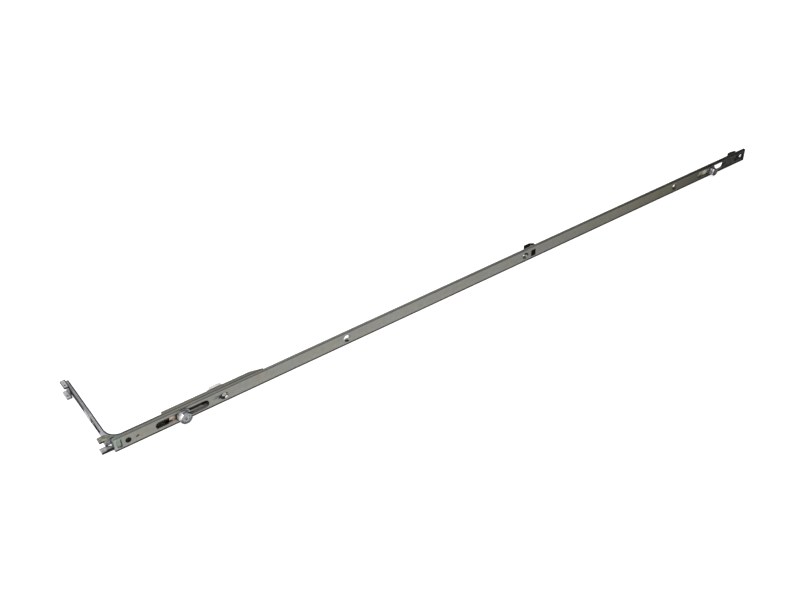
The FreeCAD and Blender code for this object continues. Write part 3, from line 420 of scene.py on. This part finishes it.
    # painted shade: a black line along the bottom edge
    low = step(t, t.math("SUBTRACT", zz, t.math("MULTIPLY", far, 0.35)), 2.05, -0.8)
    col = blacken(t, low, col, 0.97, (0.005, 0.005, 0.005))
    off_clip = step(t, t.math("ABSOLUTE", t.math("SUBTRACT", x, 511.5)), 7.5, 2.0)
    tail = t.math("DIVIDE", t.math("SUBTRACT", x, 600.0), 200.0, clamp=True)
    # painted shade: a dark line along the top front edge, heavier towards the far end, left off beside the mid clip
    high = both(t, step(t, t.math("ADD", zz, t.math("MULTIPLY", tail, 0.6)), 15.1, 0.6), step(t, y, -0.85, -0.3))
    high = both(t, high, off_clip, t.math("MULTIPLY_ADD", tail, 0.36, 0.60))
    col = blacken(t, high, col, 1.0, (0.008, 0.008, 0.007))
    # painted shade on the top edge, left off beside the mid clip
    back = both(t, step(t, t.math("ADD", y, t.math("MULTIPLY", far, 1.3)), 1.05, 0.3), step(t, z, 15.0, 0.5))
    back = both(t, back, off_clip, t.math("MULTIPLY_ADD", step(t, x, 160.0, 30.0), 0.26, 0.42))
    t.dull = t.math("MAXIMUM", t.math("MULTIPLY", both(t, sink_lit, lit), 0.9), t.math("MULTIPLY", wall, 0.85))
    t.dull = t.math("MAXIMUM", t.dull, glint)
    t.dull = t.math("MAXIMUM", t.math("MAXIMUM", t.dull, t.math("MULTIPLY", gleam, 0.9)), t.math("MULTIPLY", far_wall, 0.6))
    return blacken(t, back, col, 1.0, (0.018, 0.018, 0.016))


def cover_look(t, col):
    """Rail cover: shaded seam along the faceplate and a dark folded back edge."""
    x, y, z = part_xyz(t)
    nx, ny, nz = normal_xyz(t)
    seam = step(t, y, 4.5, -0.9)
    fold = both(t, step(t, y, 7.45, 0.4), step(t, z, 13.0, 0.6))
    crease = both(t, step(t, y, 5.7, 0.3), step(t, y, 6.4, -0.3), step(t, z, 13.0, 0.6))
    col = t.mix(t.math("MULTIPLY", seam, 0.88), col, (0.022, 0.022, 0.020))
    col = t.mix(t.math("MULTIPLY", crease, 0.50), col, (0.05, 0.05, 0.04))
    return t.mix(t.math("MULTIPLY", fold, 0.75), col, (0.040, 0.040, 0.037))


def leg_look(t, col):
    """Short leg: painted shade inside and on the open side, a shaded outer edge, painted shade lines along the top."""
    x, y, z = part_xyz(t)
    nx, ny, nz = normal_xyz(t)
    on_leg = step(t, y, 16.0, 1.0)
    # painted shade: black on the open side and inside the channel
    side = both(t, step(t, nx, -0.4, -0.3), step(t, x, 9.0, -1.0))
    near = step(t, y, 33.0, -3.0)
    col = blacken(t, t.math("MULTIPLY", side, t.math("MULTIPLY_ADD", near, -0.45, 1.0)), col, 0.97, (0.005, 0.005, 0.007))
    inner = both(t, step(t, x, -0.95, -0.1), step(t, z, 11.3, -0.2), step(t, z, 4.7, 0.2), on_leg)
    col = blacken(t, inner, col, 0.95)
    # painted shade: dark lines along the top
    edge = both(t, step(t, x, -1.65, 0.5), on_leg, step(t, z, 11.2, 0.3))
    col = blacken(t, edge, col, 0.94, (0.010, 0.010, 0.012))
    left = both(t, step(t, x, -3.35, -0.3), on_leg, step(t, z, 11.2, 0.3))
    col = blacken(t, left, col, 0.60, (0.030, 0.030, 0.032))
    mid = both(t, step(t, x, -2.90, 0.25), step(t, x, -2.30, -0.25), step(t, z, 11.2, 0.3), on_leg,
               step(t, t.noise(t.mm((1.0, 0.16, 1.0), (3.0, 1.0, 1.0)), 1.0, 2.0), 0.40, 0.2))
    return blacken(t, mid, col, 0.72, (0.045, 0.045, 0.048))


def bridge_look(t, col):
    """Bridge clip over the leg: shaded flank and edges, paler top."""
    x, y, z = part_xyz(t)
    nx, ny, nz = normal_xyz(t)
    col = blacken(t, step(t, nx, -0.4, -0.3), col, 0.55, (0.090, 0.090, 0.095))
    edge = both(t, step(t, x, -1.65, 0.5), step(t, nz, 0.5, 0.4))
    col = blacken(t, edge, col, 0.92, (0.012, 0.012, 0.014))
    # painted shade lines on the top, in line with those of the leg
    rib = both(t, step(t, nz, 0.5, 0.4), t.math("MAXIMUM", step(t, x, -3.5, -0.3), both(t, step(t, x, -2.9, 0.2), step(t, x, -2.5, -0.2))))
    return blacken(t, rib, col, 0.76, (0.045, 0.045, 0.048))


def guide_look(t, col):
    """Inner guide: darkened upper rim round the inside of the corner."""
    x, y, z = part_xyz(t)
    nx, ny, nz = normal_xyz(t)
    rim = both(t, step(t, z, 13.6, 0.2), step(t, nz, 0.5, 0.4))
    return blacken(t, rim, col, 0.88, (0.026, 0.028, 0.027))


def block_look(t, col):
    """Cast corner: cooler green near the faceplate, lilac towards the short leg; painted light on the top rim and on
    the front between the plates, painted shade on the left side and along the bottom of the front.
    """
    x, y, z = part_xyz(t)
    nx, ny, nz = normal_xyz(t)
    f = t.math("ADD", x, t.math("MULTIPLY_ADD", t.noise(t.mm(offset=(1.0, 6.0, 2.0)), 0.4, 3.0), 4.0, -2.0))
    col = t.mix(step(t, f, 1.0, -3.0), col, (0.400, 0.395, 0.440))
    # painted light on the top rim
    top_rim = both(t, step(t, nz, 0.5, 0.4), step(t, f, 2.0, -4.0))
    col = t.mix(t.math("MULTIPLY", top_rim, 0.5), col, (0.520, 0.520, 0.560))
    # painted light on the front between the plates, with dark blotches
    front = both(t, step(t, ny, -0.6, -0.3), step(t, x, 0.5, -0.5))
    blot = t.ramp(t.noise(t.mm(offset=(7.0, 2.0, 5.0)), 0.55, 3.0, 0.6), (0.38, 0.0), (0.55, 1.0))
    pale = t.mix(blot, (0.050, 0.054, 0.046), (0.44, 0.45, 0.45))
    col = t.mix(t.math("MULTIPLY", front, 0.92), col, pale)
    # painted shade on the left side
    side = step(t, nx, -0.5, -0.3)
    col = t.mix(t.math("MULTIPLY", side, 0.7), col, (0.12, 0.12, 0.13))
    # painted shade along the bottom of the front
    low = both(t, front, step(t, z, 3.2, -0.8))
    t.dull = t.math("MULTIPLY", front, 0.8)
    return blacken(t, low, col)


def plate_look(t, col):
    """Pressed plates: black front edges, and the colour of the casting at the inner end; painted light on the lower
    plate.
    """
    x, y, z = part_xyz(t)
    nx, ny, nz = normal_xyz(t)
    drift = t.math("MULTIPLY_ADD", t.noise(t.mm(offset=(4.0, 4.0, 2.0)), 0.45, 3.0), 5.0, -2.5)
    streak = t.ramp(t.noise(t.mm((0.25, 0.9, 1.0), (4.0, 1.0, 2.0)), 1.0, 3.0, 0.6), (0.40, 0.0), (0.60, 1.0))
    upper = step(t, z, 8.0, 1.0)
    col = t.mix(both(t, upper, step(t, t.math("ADD", x, drift), -1.0, 3.0)), col, (0.245, 0.275, 0.250))
    col = t.mix(t.math("MULTIPLY", t.math("SUBTRACT", 1.0, streak), 0.72), col, (0.075, 0.077, 0.070))
    lower = t.math("SUBTRACT", 1.0, upper)
    # painted light: the lower plate made paler and matt, in streaks, where shade falls between the plates
    t.dull = t.math("MULTIPLY", lower, 0.65)
    col = t.mix(t.math("MULTIPLY", both(t, lower, streak), 0.7), col, (0.66, 0.65, 0.70))
    lip = both(t, lower, step(t, t.math("ADD", y, t.math("MULTIPLY", step(t, x, -6.0, -2.0), 0.9)), 4.3, -0.5))
    cut = t.math("MAXIMUM", step(t, ny, -0.35, -0.3), lip)
    fade = t.math("MULTIPLY", upper, step(t, x, -6.2, 1.5))
    col = t.mix(t.math("MULTIPLY", both(t, cut, fade), 0.8), col, (0.130, 0.140, 0.120))
    return blacken(t, both(t, cut, t.math("SUBTRACT", 1.0, fade)), col, 0.96, (0.006, 0.006, 0.006))


def clevis_look(t, col):
    """Tip clevis: web and root dark as painted shade, painted light on the tops of the ears, shaded rims."""
    x, y, z = part_xyz(t)
    nx, ny, nz = normal_xyz(t)
    root = step(t, x, -5.1, 0.5)
    # painted light on the tops of the ears
    ear = t.math("MULTIPLY", t.math("SUBTRACT", 1.0, root), step(t, nz, 0.5, 0.4))
    t.dull = t.math("MULTIPLY", ear, 0.55)
    col = t.mix(t.math("MULTIPLY", ear, 0.6), col, t.mix(step(t, z, 8.0, 1.0), (0.50, 0.50, 0.53), (0.36, 0.36, 0.375)))
    # painted shade on the web and root
    col = blacken(t, root, col, 0.88, (0.014, 0.014, 0.016))
    rim = both(t, step(t, z, 8.0, 1.0), step(t, t.math("MAXIMUM", step(t, x, -8.6, -0.5), step(t, y, 94.3, -0.5)), 0.5, 0.5))
    col = blacken(t, rim, col, 0.80, (0.055, 0.055, 0.058))
    return blacken(t, step(t, ny, -0.35, -0.3), col, 0.75, (0.020, 0.020, 0.022))


def cam_look(t, col):
    """Turned head: dull blasted front face, painted darker in place of a reflection; painted highlights on the flats on
    the left; painted shade on the top, the rim, the right, below and over the far head.
    """
    x, y, z = part_xyz(t)
    nx, ny, nz = normal_xyz(t)
    far = step(t, x, 600.0, 50.0)
    near = t.math("SUBTRACT", 1.0, far)
    grit = t.noise(t.mm(offset=(2.0, 9.0, 4.0)), 0.9, 3.0, 0.7)
    # dull blasted front face, painted darker in place of a reflection
    face = step(t, ny, -0.85, -0.2)
    dull = t.mix(t.ramp(grit, (0.43, 0.0), (0.56, 1.0)), (0.030, 0.032, 0.035), (0.270, 0.275, 0.290))
    col = t.mix(t.math("MULTIPLY", face, 0.92), col, dull)
    # painted shade on the top
    top = both(t, step(t, nz, 0.35, 0.4), step(t, nx, -0.5, 0.4))
    col = t.mix(t.math("MULTIPLY", top, 0.85), col, (0.105, 0.118, 0.138))
    lit = both(t, near, step(t, nx, -0.45, -0.3), step(t, nz, -0.1, 0.4), step(t, y, -3.6, -0.4))
    col = t.mix(t.math("MULTIPLY", lit, 0.9), col, (0.97, 0.97, 0.98))
    rx = t.math("SUBTRACT", x, 71.1)
    rz = t.math("SUBTRACT", z, 8.0)
    rr = t.math("POWER", t.math("ADD", t.math("MULTIPLY", rx, rx), t.math("MULTIPLY", rz, rz)), 0.5)
    # painted shade on the lower right rim of the face
    rim = both(t, near, step(t, rr, 4.7, 0.8), step(t, z, 8.6, -2.0), step(t, y, -6.4, -0.4))
    col = blacken(t, rim, col, 0.75, (0.030, 0.030, 0.032))
    # painted shade below and on the right
    under = step(t, nz, -0.2, -0.4)
    col = t.mix(t.math("MULTIPLY", under, 0.85), col, (0.035, 0.035, 0.036))
    right = step(t, nx, 0.25, 0.3)
    col = t.mix(t.math("MULTIPLY", right, 0.6), col, (0.06, 0.06, 0.062))
    t.dull = t.math("MAXIMUM", t.math("MULTIPLY", both(t, face, near), 0.5), t.math("MULTIPLY", lit, 0.7))
    # painted shade over the far head, except its left flank
    col = blacken(t, both(t, far, step(t, z, 6.4, -2.4)), col, 0.90, (0.012, 0.010, 0.014))
    keep = t.math("SUBTRACT", 1.0, t.math("MULTIPLY", step(t, nx, -0.5, -0.4), 0.75))
    return blacken(t, both(t, far, keep), col, 0.85, (0.022, 0.018, 0.024))


def roller_look(t, col):
    """Cam sleeve: a bright flank on the left, painted shade on the right, the far one in painted shade below and away
    from its left flank.
    """
    x, y, z = part_xyz(t)
    nx, ny, nz = normal_xyz(t)
    # painted shade on the right side
    right = step(t, t.math("ADD", nx, t.math("MULTIPLY", nz, 0.45)), -0.05, 0.5)
    col = t.mix(t.math("MULTIPLY", right, 0.85), col, (0.080, 0.088, 0.100))
    far = step(t, x, 600.0, 50.0)
    t.dull = t.math("MULTIPLY", t.math("SUBTRACT", 1.0, far), 0.35)
    # painted shade over the far sleeve, below and away from its left flank
    col = blacken(t, both(t, far, step(t, z, 6.4, -2.4)), col, 0.90, (0.012, 0.010, 0.014))
    return blacken(t, both(t, far, step(t, nx, -0.6, 0.5)), col, 0.8, (0.030, 0.026, 0.032))


def shoe_look(t, col):
    """Cast shoe: pinkish face, painted shade on the rim and step and at the lower left."""
    x, y, z = part_xyz(t)
    nx, ny, nz = normal_xyz(t)
    # painted shade on the rim and step and at the lower left
    rim = t.math("MAXIMUM", step(t, z, 8.9, 0.8), step(t, x, 63.3, 0.5))
    low = both(t, step(t, x, 60.6, -1.2), step(t, z, 5.4, -0.8))
    blot = t.ramp(t.noise(t.mm(offset=(5.0, 5.0, 5.0)), 0.6, 3.0, 0.6), (0.56, 0.0), (0.66, 1.0))
    col = t.mix(t.math("MULTIPLY", blot, 0.5), col, (0.16, 0.12, 0.10))
    return blacken(t, t.math("MAXIMUM", rim, low), col, 0.93, (0.010, 0.009, 0.009))


def clip_look(t, col):
    """Clip at mid length: black, with the pressed tongue beside the faceplate left in olive plating."""
    x, y, z = part_xyz(t)
    rise = t.math("MULTIPLY_ADD", t.math("SUBTRACT", x, 507.9), 0.30, 3.0)
    fall = t.math("MULTIPLY_ADD", t.math("SUBTRACT", x, 513.0), -0.20, 4.5)
    bare_and_lit = both(t, step(t, t.math("SUBTRACT", y, t.math("MINIMUM", rise, fall)), 0.0, -0.4),
                step(t, z, 10.0, 1.0), step(t, y, 1.5, 0.2))
    col = t.mix(bare_and_lit, col, (0.200, 0.200, 0.165))
    return blacken(t, t.math("SUBTRACT", 1.0, bare_and_lit), col, 0.97, (0.004, 0.004, 0.004))


def rod_fade(t, col):
    """Rod: painted shade darker towards the far end, painted light low behind the near slot with painted shade above
    it, painted shade behind the hole at mid length, a painted lit olive patch beside the far cam.
    """
    x, y, z = part_xyz(t)
    # painted shade: darker and browner towards the far end
    col = far_end_shade(t, col)
    wave = t.math("MULTIPLY_ADD", t.noise(t.mm((0.25, 1.0, 1.0), (2.0, 2.0, 7.0)), 1.0, 2.0), 1.4, -0.7)
    # painted light on the lower part seen through the near slot
    low = both(t, step(t, x, 100.0, -3.0), step(t, z, 5.6, -1.0))
    col = t.mix(t.math("MULTIPLY", low, 0.6), col, (0.270, 0.270, 0.264))
    # painted shade above it, at its left end and behind the hole at mid length
    black = both(t, step(t, x, 100.0, -3.0), step(t, t.math("ADD", z, wave), 5.7, 0.8))
    hollow = step(t, x, 59.0, -1.0)
    shade_behind_hole = both(t, step(t, x, 498.0, 1.0), step(t, x, 509.0, -1.0))
    col = blacken(t, t.math("MAXIMUM", t.math("MAXIMUM", black, hollow), shade_behind_hole), col, 0.97)
    # painted light: a pale olive patch seen through the far slot, paler towards the cam
    patch = both(t, step(t, x, 784.0, 3.0), step(t, x, 806.5, -2.0))
    blot = t.ramp(t.noise(t.mm(offset=(9.0, 2.0, 5.0)), 0.35, 3.0, 0.6), (0.35, 0.0), (0.65, 1.0))
    inner = step(t, x, 798.5, 5.0)
    t.dull = t.math("MULTIPLY", patch, t.math("MULTIPLY_ADD", inner, 0.5, 0.5))
    pale = t.mix(inner, t.mix(blot, (0.110, 0.106, 0.075), (0.34, 0.33, 0.25)), (0.80, 0.78, 0.62))
    return t.mix(t.math("MULTIPLY", patch, 0.92), col, pale)


MATS = {
    "faceplate_steel": metal("zinc_strip", (0.206, 0.212, 0.201), rough=0.40, grain=(0.02, 3.2, 3.2), fade=strip_look, bump=0.3),
    "rod_steel": metal("zinc_rod", (0.400, 0.400, 0.385), rough=0.52, grain=(0.02, 3.0, 3.0), fade=rod_fade, metallic=0.6, crevice_shade=0.25),
    "plate_steel": metal("pressed_plate", (0.340, 0.336, 0.366), rough=0.38, grain=(0.9, 0.9, 0.9), grain_amt=0.05, blotch=0.20, speck=0.1, fade=plate_look),
    "corner_zinc": metal("cast_zinc", (0.200, 0.232, 0.210), rough=0.44, grain=(0.8, 0.8, 0.8), grain_amt=0.05, speck=0.12, bump=0.5, fade=block_look, crevice_shade=0.7, crevice_shade_mm=2.2),
    "spring_steel": metal("spring_leaf", (0.300, 0.300, 0.330), rough=0.28, grain=(0.03, 3.0, 3.0)),
    "bar_steel": metal("bar_plating", (0.400, 0.400, 0.420), (0.390, 0.392, 0.412), rough=0.36, grain=(2.6, 0.03, 2.6), fade=leg_look, crevice_shade=0.3),
    "cam_zinc": metal("turned_zinc", (0.760, 0.765, 0.790), rough=0.20, grain=(1.4, 1.4, 1.4), grain_amt=0.05, blotch=0.08, bump=0.25, crevice_shade=0.15, fade=cam_look),
    "roller_steel": metal("turned_sleeve", (0.760, 0.765, 0.785), rough=0.22, grain=(0.3, 6.0, 0.3), grain_amt=0.06, crevice_shade=0.15, fade=roller_look),
    "rivet_steel": metal("rivet_plain", (0.300, 0.292, 0.282), rough=0.33, grain=(1.5, 1.5, 1.5), grain_amt=0.05),
    "warm_rivet": metal("rivet_copper", (0.220, 0.100, 0.055), rough=0.45, grain=(1.5, 1.5, 1.5), grain_amt=0.05, metallic=0.4),
    "shoe_alloy": metal("shoe_bronze", (0.520, 0.430, 0.375), rough=0.50, grain=(1.5, 1.5, 1.5), grain_amt=0.05, speck=0.12, metallic=0.45, fade=shoe_look),
    "nylon": plastic("white_nylon", (0.50, 0.485, 0.48), rough=0.42, speck=0.04, bump=0.15, subsurface=0.15),
    "black_plastic": plastic("black_nylon", (0.004, 0.004, 0.004), rough=0.62, speck=0.25, edge=0.15, shine=0.06),
}
MATS_NODE = {
    "rail_cover": metal("cover_strip", (0.215, 0.215, 0.190), rough=0.40, grain=(0.02, 3.2, 3.2), fade=cover_look, bump=0.3, crevice_shade=0.7, crevice_shade_mm=2.5),
    "corner_plate_upper": metal("olive_plate", (0.285, 0.292, 0.252), rough=0.42, grain=(0.9, 0.9, 0.9), grain_amt=0.06, blotch=0.22, speck=0.14, fade=plate_look),
    "corner_inner_guide": metal("guide_plating", (0.290, 0.288, 0.310), rough=0.38, grain=(0.6, 0.6, 2.6), fade=guide_look),
    "guide_bridge_clip": metal("bridge_plating", (0.400, 0.400, 0.420), rough=0.36, grain=(0.9, 0.9, 0.9), grain_amt=0.05, fade=bridge_look, crevice_shade=0.2),
    "tip_clevis": metal("clevis_plate", (0.440, 0.440, 0.455), rough=0.36, grain=(0.9, 0.9, 0.9), grain_amt=0.05, blotch=0.14, fade=clevis_look),
    "mid_guide_clip": metal("clip_nylon", (0.004, 0.004, 0.004), rough=0.60, grain=(1.5, 1.5, 1.5), grain_amt=0.15, edge=0.1, crevice_shade=0.0, metallic=0.0, fade=clip_look),
}


def mat_for(node):
    return MATS_NODE.get(node) or MATS[node_slot[node]]


for n, o in nodes.items():
    o.data.materials.clear()
    o.data.materials.append(mat_for(n))


# ------------------------------------------------------------ refined meshes
def weld(bm):
    bmesh.ops.remove_doubles(bm, verts=bm.verts[:], dist=1.5e-6)
    bmesh.ops.recalc_face_normals(bm, faces=bm.faces[:])


def refine(node, width_mm, angle=32.0, segments=2, keep=None):
    """The node's own shape with its sharp edges broken; stands for the node."""
    src = nodes[node]
    bm = bmesh.new()
    bm.from_mesh(src.data)
    weld(bm)
    bmesh.ops.dissolve_limit(bm, angle_limit=math.radians(0.6), verts=bm.verts[:], edges=bm.edges[:],
                             use_dissolve_boundaries=False)
    vol = abs(bm.calc_volume())
    limit = math.radians(angle)
    sharp = [e for e in bm.edges if len(e.link_faces) == 2 and e.calc_face_angle(0.0) > limit
             and (keep is None or keep(e))]
    bmesh.ops.bevel(bm, geom=sharp, offset=width_mm * MM, offset_type="OFFSET", segments=segments,
                    profile=0.5, affect="EDGES", clamp_overlap=True)
    bmesh.ops.triangulate(bm, faces=[f for f in bm.faces if len(f.verts) > 4])
    open_edges = sum(1 for e in bm.edges if len(e.link_faces) != 2)
    new_vol = abs(bm.calc_volume())
    me = bpy.data.meshes.new(node + "_finish")
    bm.to_mesh(me)
    bm.free()
    if "custom_normal" in me.attributes:
        me.attributes.remove(me.attributes["custom_normal"])
    print("refine %-22s open %d  vol %.4f" % (node, open_edges, new_vol / max(vol, 1e-18)))
    return piece(me, node)


def piece(me, node, name=None, mat=None):
    """A new object that stands for a node, or rides with it."""
    me.polygons.foreach_set("use_smooth", [True] * len(me.polygons))
    me.set_sharp_from_angle(angle=math.radians(35.0))
    me.materials.clear()
    me.materials.append(mat or mat_for(node))
    o = bpy.data.objects.new(name or (node + "_finish"), me)
    scene.collection.objects.link(o)
    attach(o, node_body[node])
    if name is None:
        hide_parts(node)
    return o


for n, w in (("corner_block", 0.25), ("corner_plate_lower", 0.25), ("corner_plate_upper", 0.25),
             ("corner_inner_guide", 0.12), ("short_guide_rail", 0.15), ("guide_bridge_clip", 0.15),
             ("short_drive_bar", 0.15), ("tip_clevis", 0.22), ("rail_cover", 0.15),
             ("mid_guide_clip", 0.15), ("rod_end_block", 0.15), ("nylon_guide_stud", 0.35),
             ("band_anchor_shoe", 0.15), ("near_cam_pin", 0.25), ("far_cam_pin", 0.25),
             ("near_cam_roller", 0.2), ("far_cam_roller", 0.2), ("far_cam_backing", 0.12),
             ("corner_rivets", 0.2), ("backing_rivets", 0.25), ("shoe_rivets", 0.15),
             ("end_block_rivets", 0.2), ("bar_band_rivets", 0.2), ("clevis_rivets", 0.15)):
    refine(n, w)


# ---------------------------------------------------------------- stage, light
def make_stage():
    me = bpy.data.meshes.new("floor")
    bm = bmesh.new()
    bmesh.ops.create_grid(bm, x_segments=1, y_segments=1, size=12.0)
    bm.to_mesh(me)
    bm.free()
    floor = bpy.data.objects.new("floor", me)
    floor.location = (0.4, 0.0, 0.0)
    scene.collection.objects.link(floor)
    mat, t, bsdf = new_material("floor_paper")
    bsdf.inputs["Base Color"].default_value = (0.62, 0.62, 0.62, 1.0)
    bsdf.inputs["Roughness"].default_value = 0.9
    bsdf.inputs["Specular IOR Level"].default_value = 0.1
    bsdf.inputs["Emission Color"].default_value = (1.0, 1.0, 1.0, 1.0)
    bsdf.inputs["Emission Strength"].default_value = 0.72
    me.materials.append(mat)


def area(name, loc, target, size, power, color=(1, 1, 1)):
    data = bpy.data.lights.new(name, "AREA")
    data.shape = "RECTANGLE"
    data.size, data.size_y = size
    data.energy = power
    data.color = color
    o = bpy.data.objects.new(name, data)
    scene.collection.objects.link(o)
    o.location = loc
    o.rotation_mode = "QUATERNION"
    o.rotation_quaternion = (Vector(target) - Vector(loc)).to_track_quat("-Z", "Y")
    return o


def make_world():
    world = bpy.data.worlds.new("studio")
    scene.world = world
    world.use_nodes = True
    world.node_tree.nodes.clear()
    t = Tree(world.node_tree)
    out = t.n("ShaderNodeOutputWorld")
    bg = t.n("ShaderNodeBackground")
    t.t.links.new(bg.outputs[0], out.inputs[0])
    co = t.n("ShaderNodeTexCoord")
    sep = t.n("ShaderNodeSeparateXYZ")
    t.t.links.new(co.outputs["Generated"], sep.inputs[0])
    # darker on the camera's side, brighter behind and above
    back = t.ramp(t.math("MULTIPLY_ADD", sep.outputs[1], 0.5, 0.5), (0.10, 0.30), (0.45, 0.45), (0.80, 0.95), interp="EASE")
    right = t.ramp(t.math("MULTIPLY_ADD", sep.outputs[0], 0.5, 0.5), (0.30, 1.0), (0.95, 0.72), interp="EASE")
    col = t.mix(1.0, back, right, "MULTIPLY")
    top = t.ramp(sep.outputs[2], (0.55, 0.0), (0.95, 1.0), interp="EASE")
    col = t.mix(top, col, (1.0, 1.0, 1.0))
    t.t.links.new(col, bg.inputs[0])
    bg.inputs[1].default_value = 0.86


make_stage()
make_world()
area("key", (-0.70, -1.15, 1.15), (0.30, -0.05, 0.0), (1.6, 1.0), 17.0)
area("top", (0.30, 0.10, 1.9), (0.35, 0.10, 0.0), (2.4, 1.8), 14.0)
area("rim", (-1.10, 1.00, 0.55), (0.10, 0.02, 0.01), (0.7, 0.5), 9.0)

scene.view_settings.view_transform = "Standard"
scene.view_settings.look = "None"
scene.view_settings.exposure = 0.0
scene.view_settings.gamma = 1.0
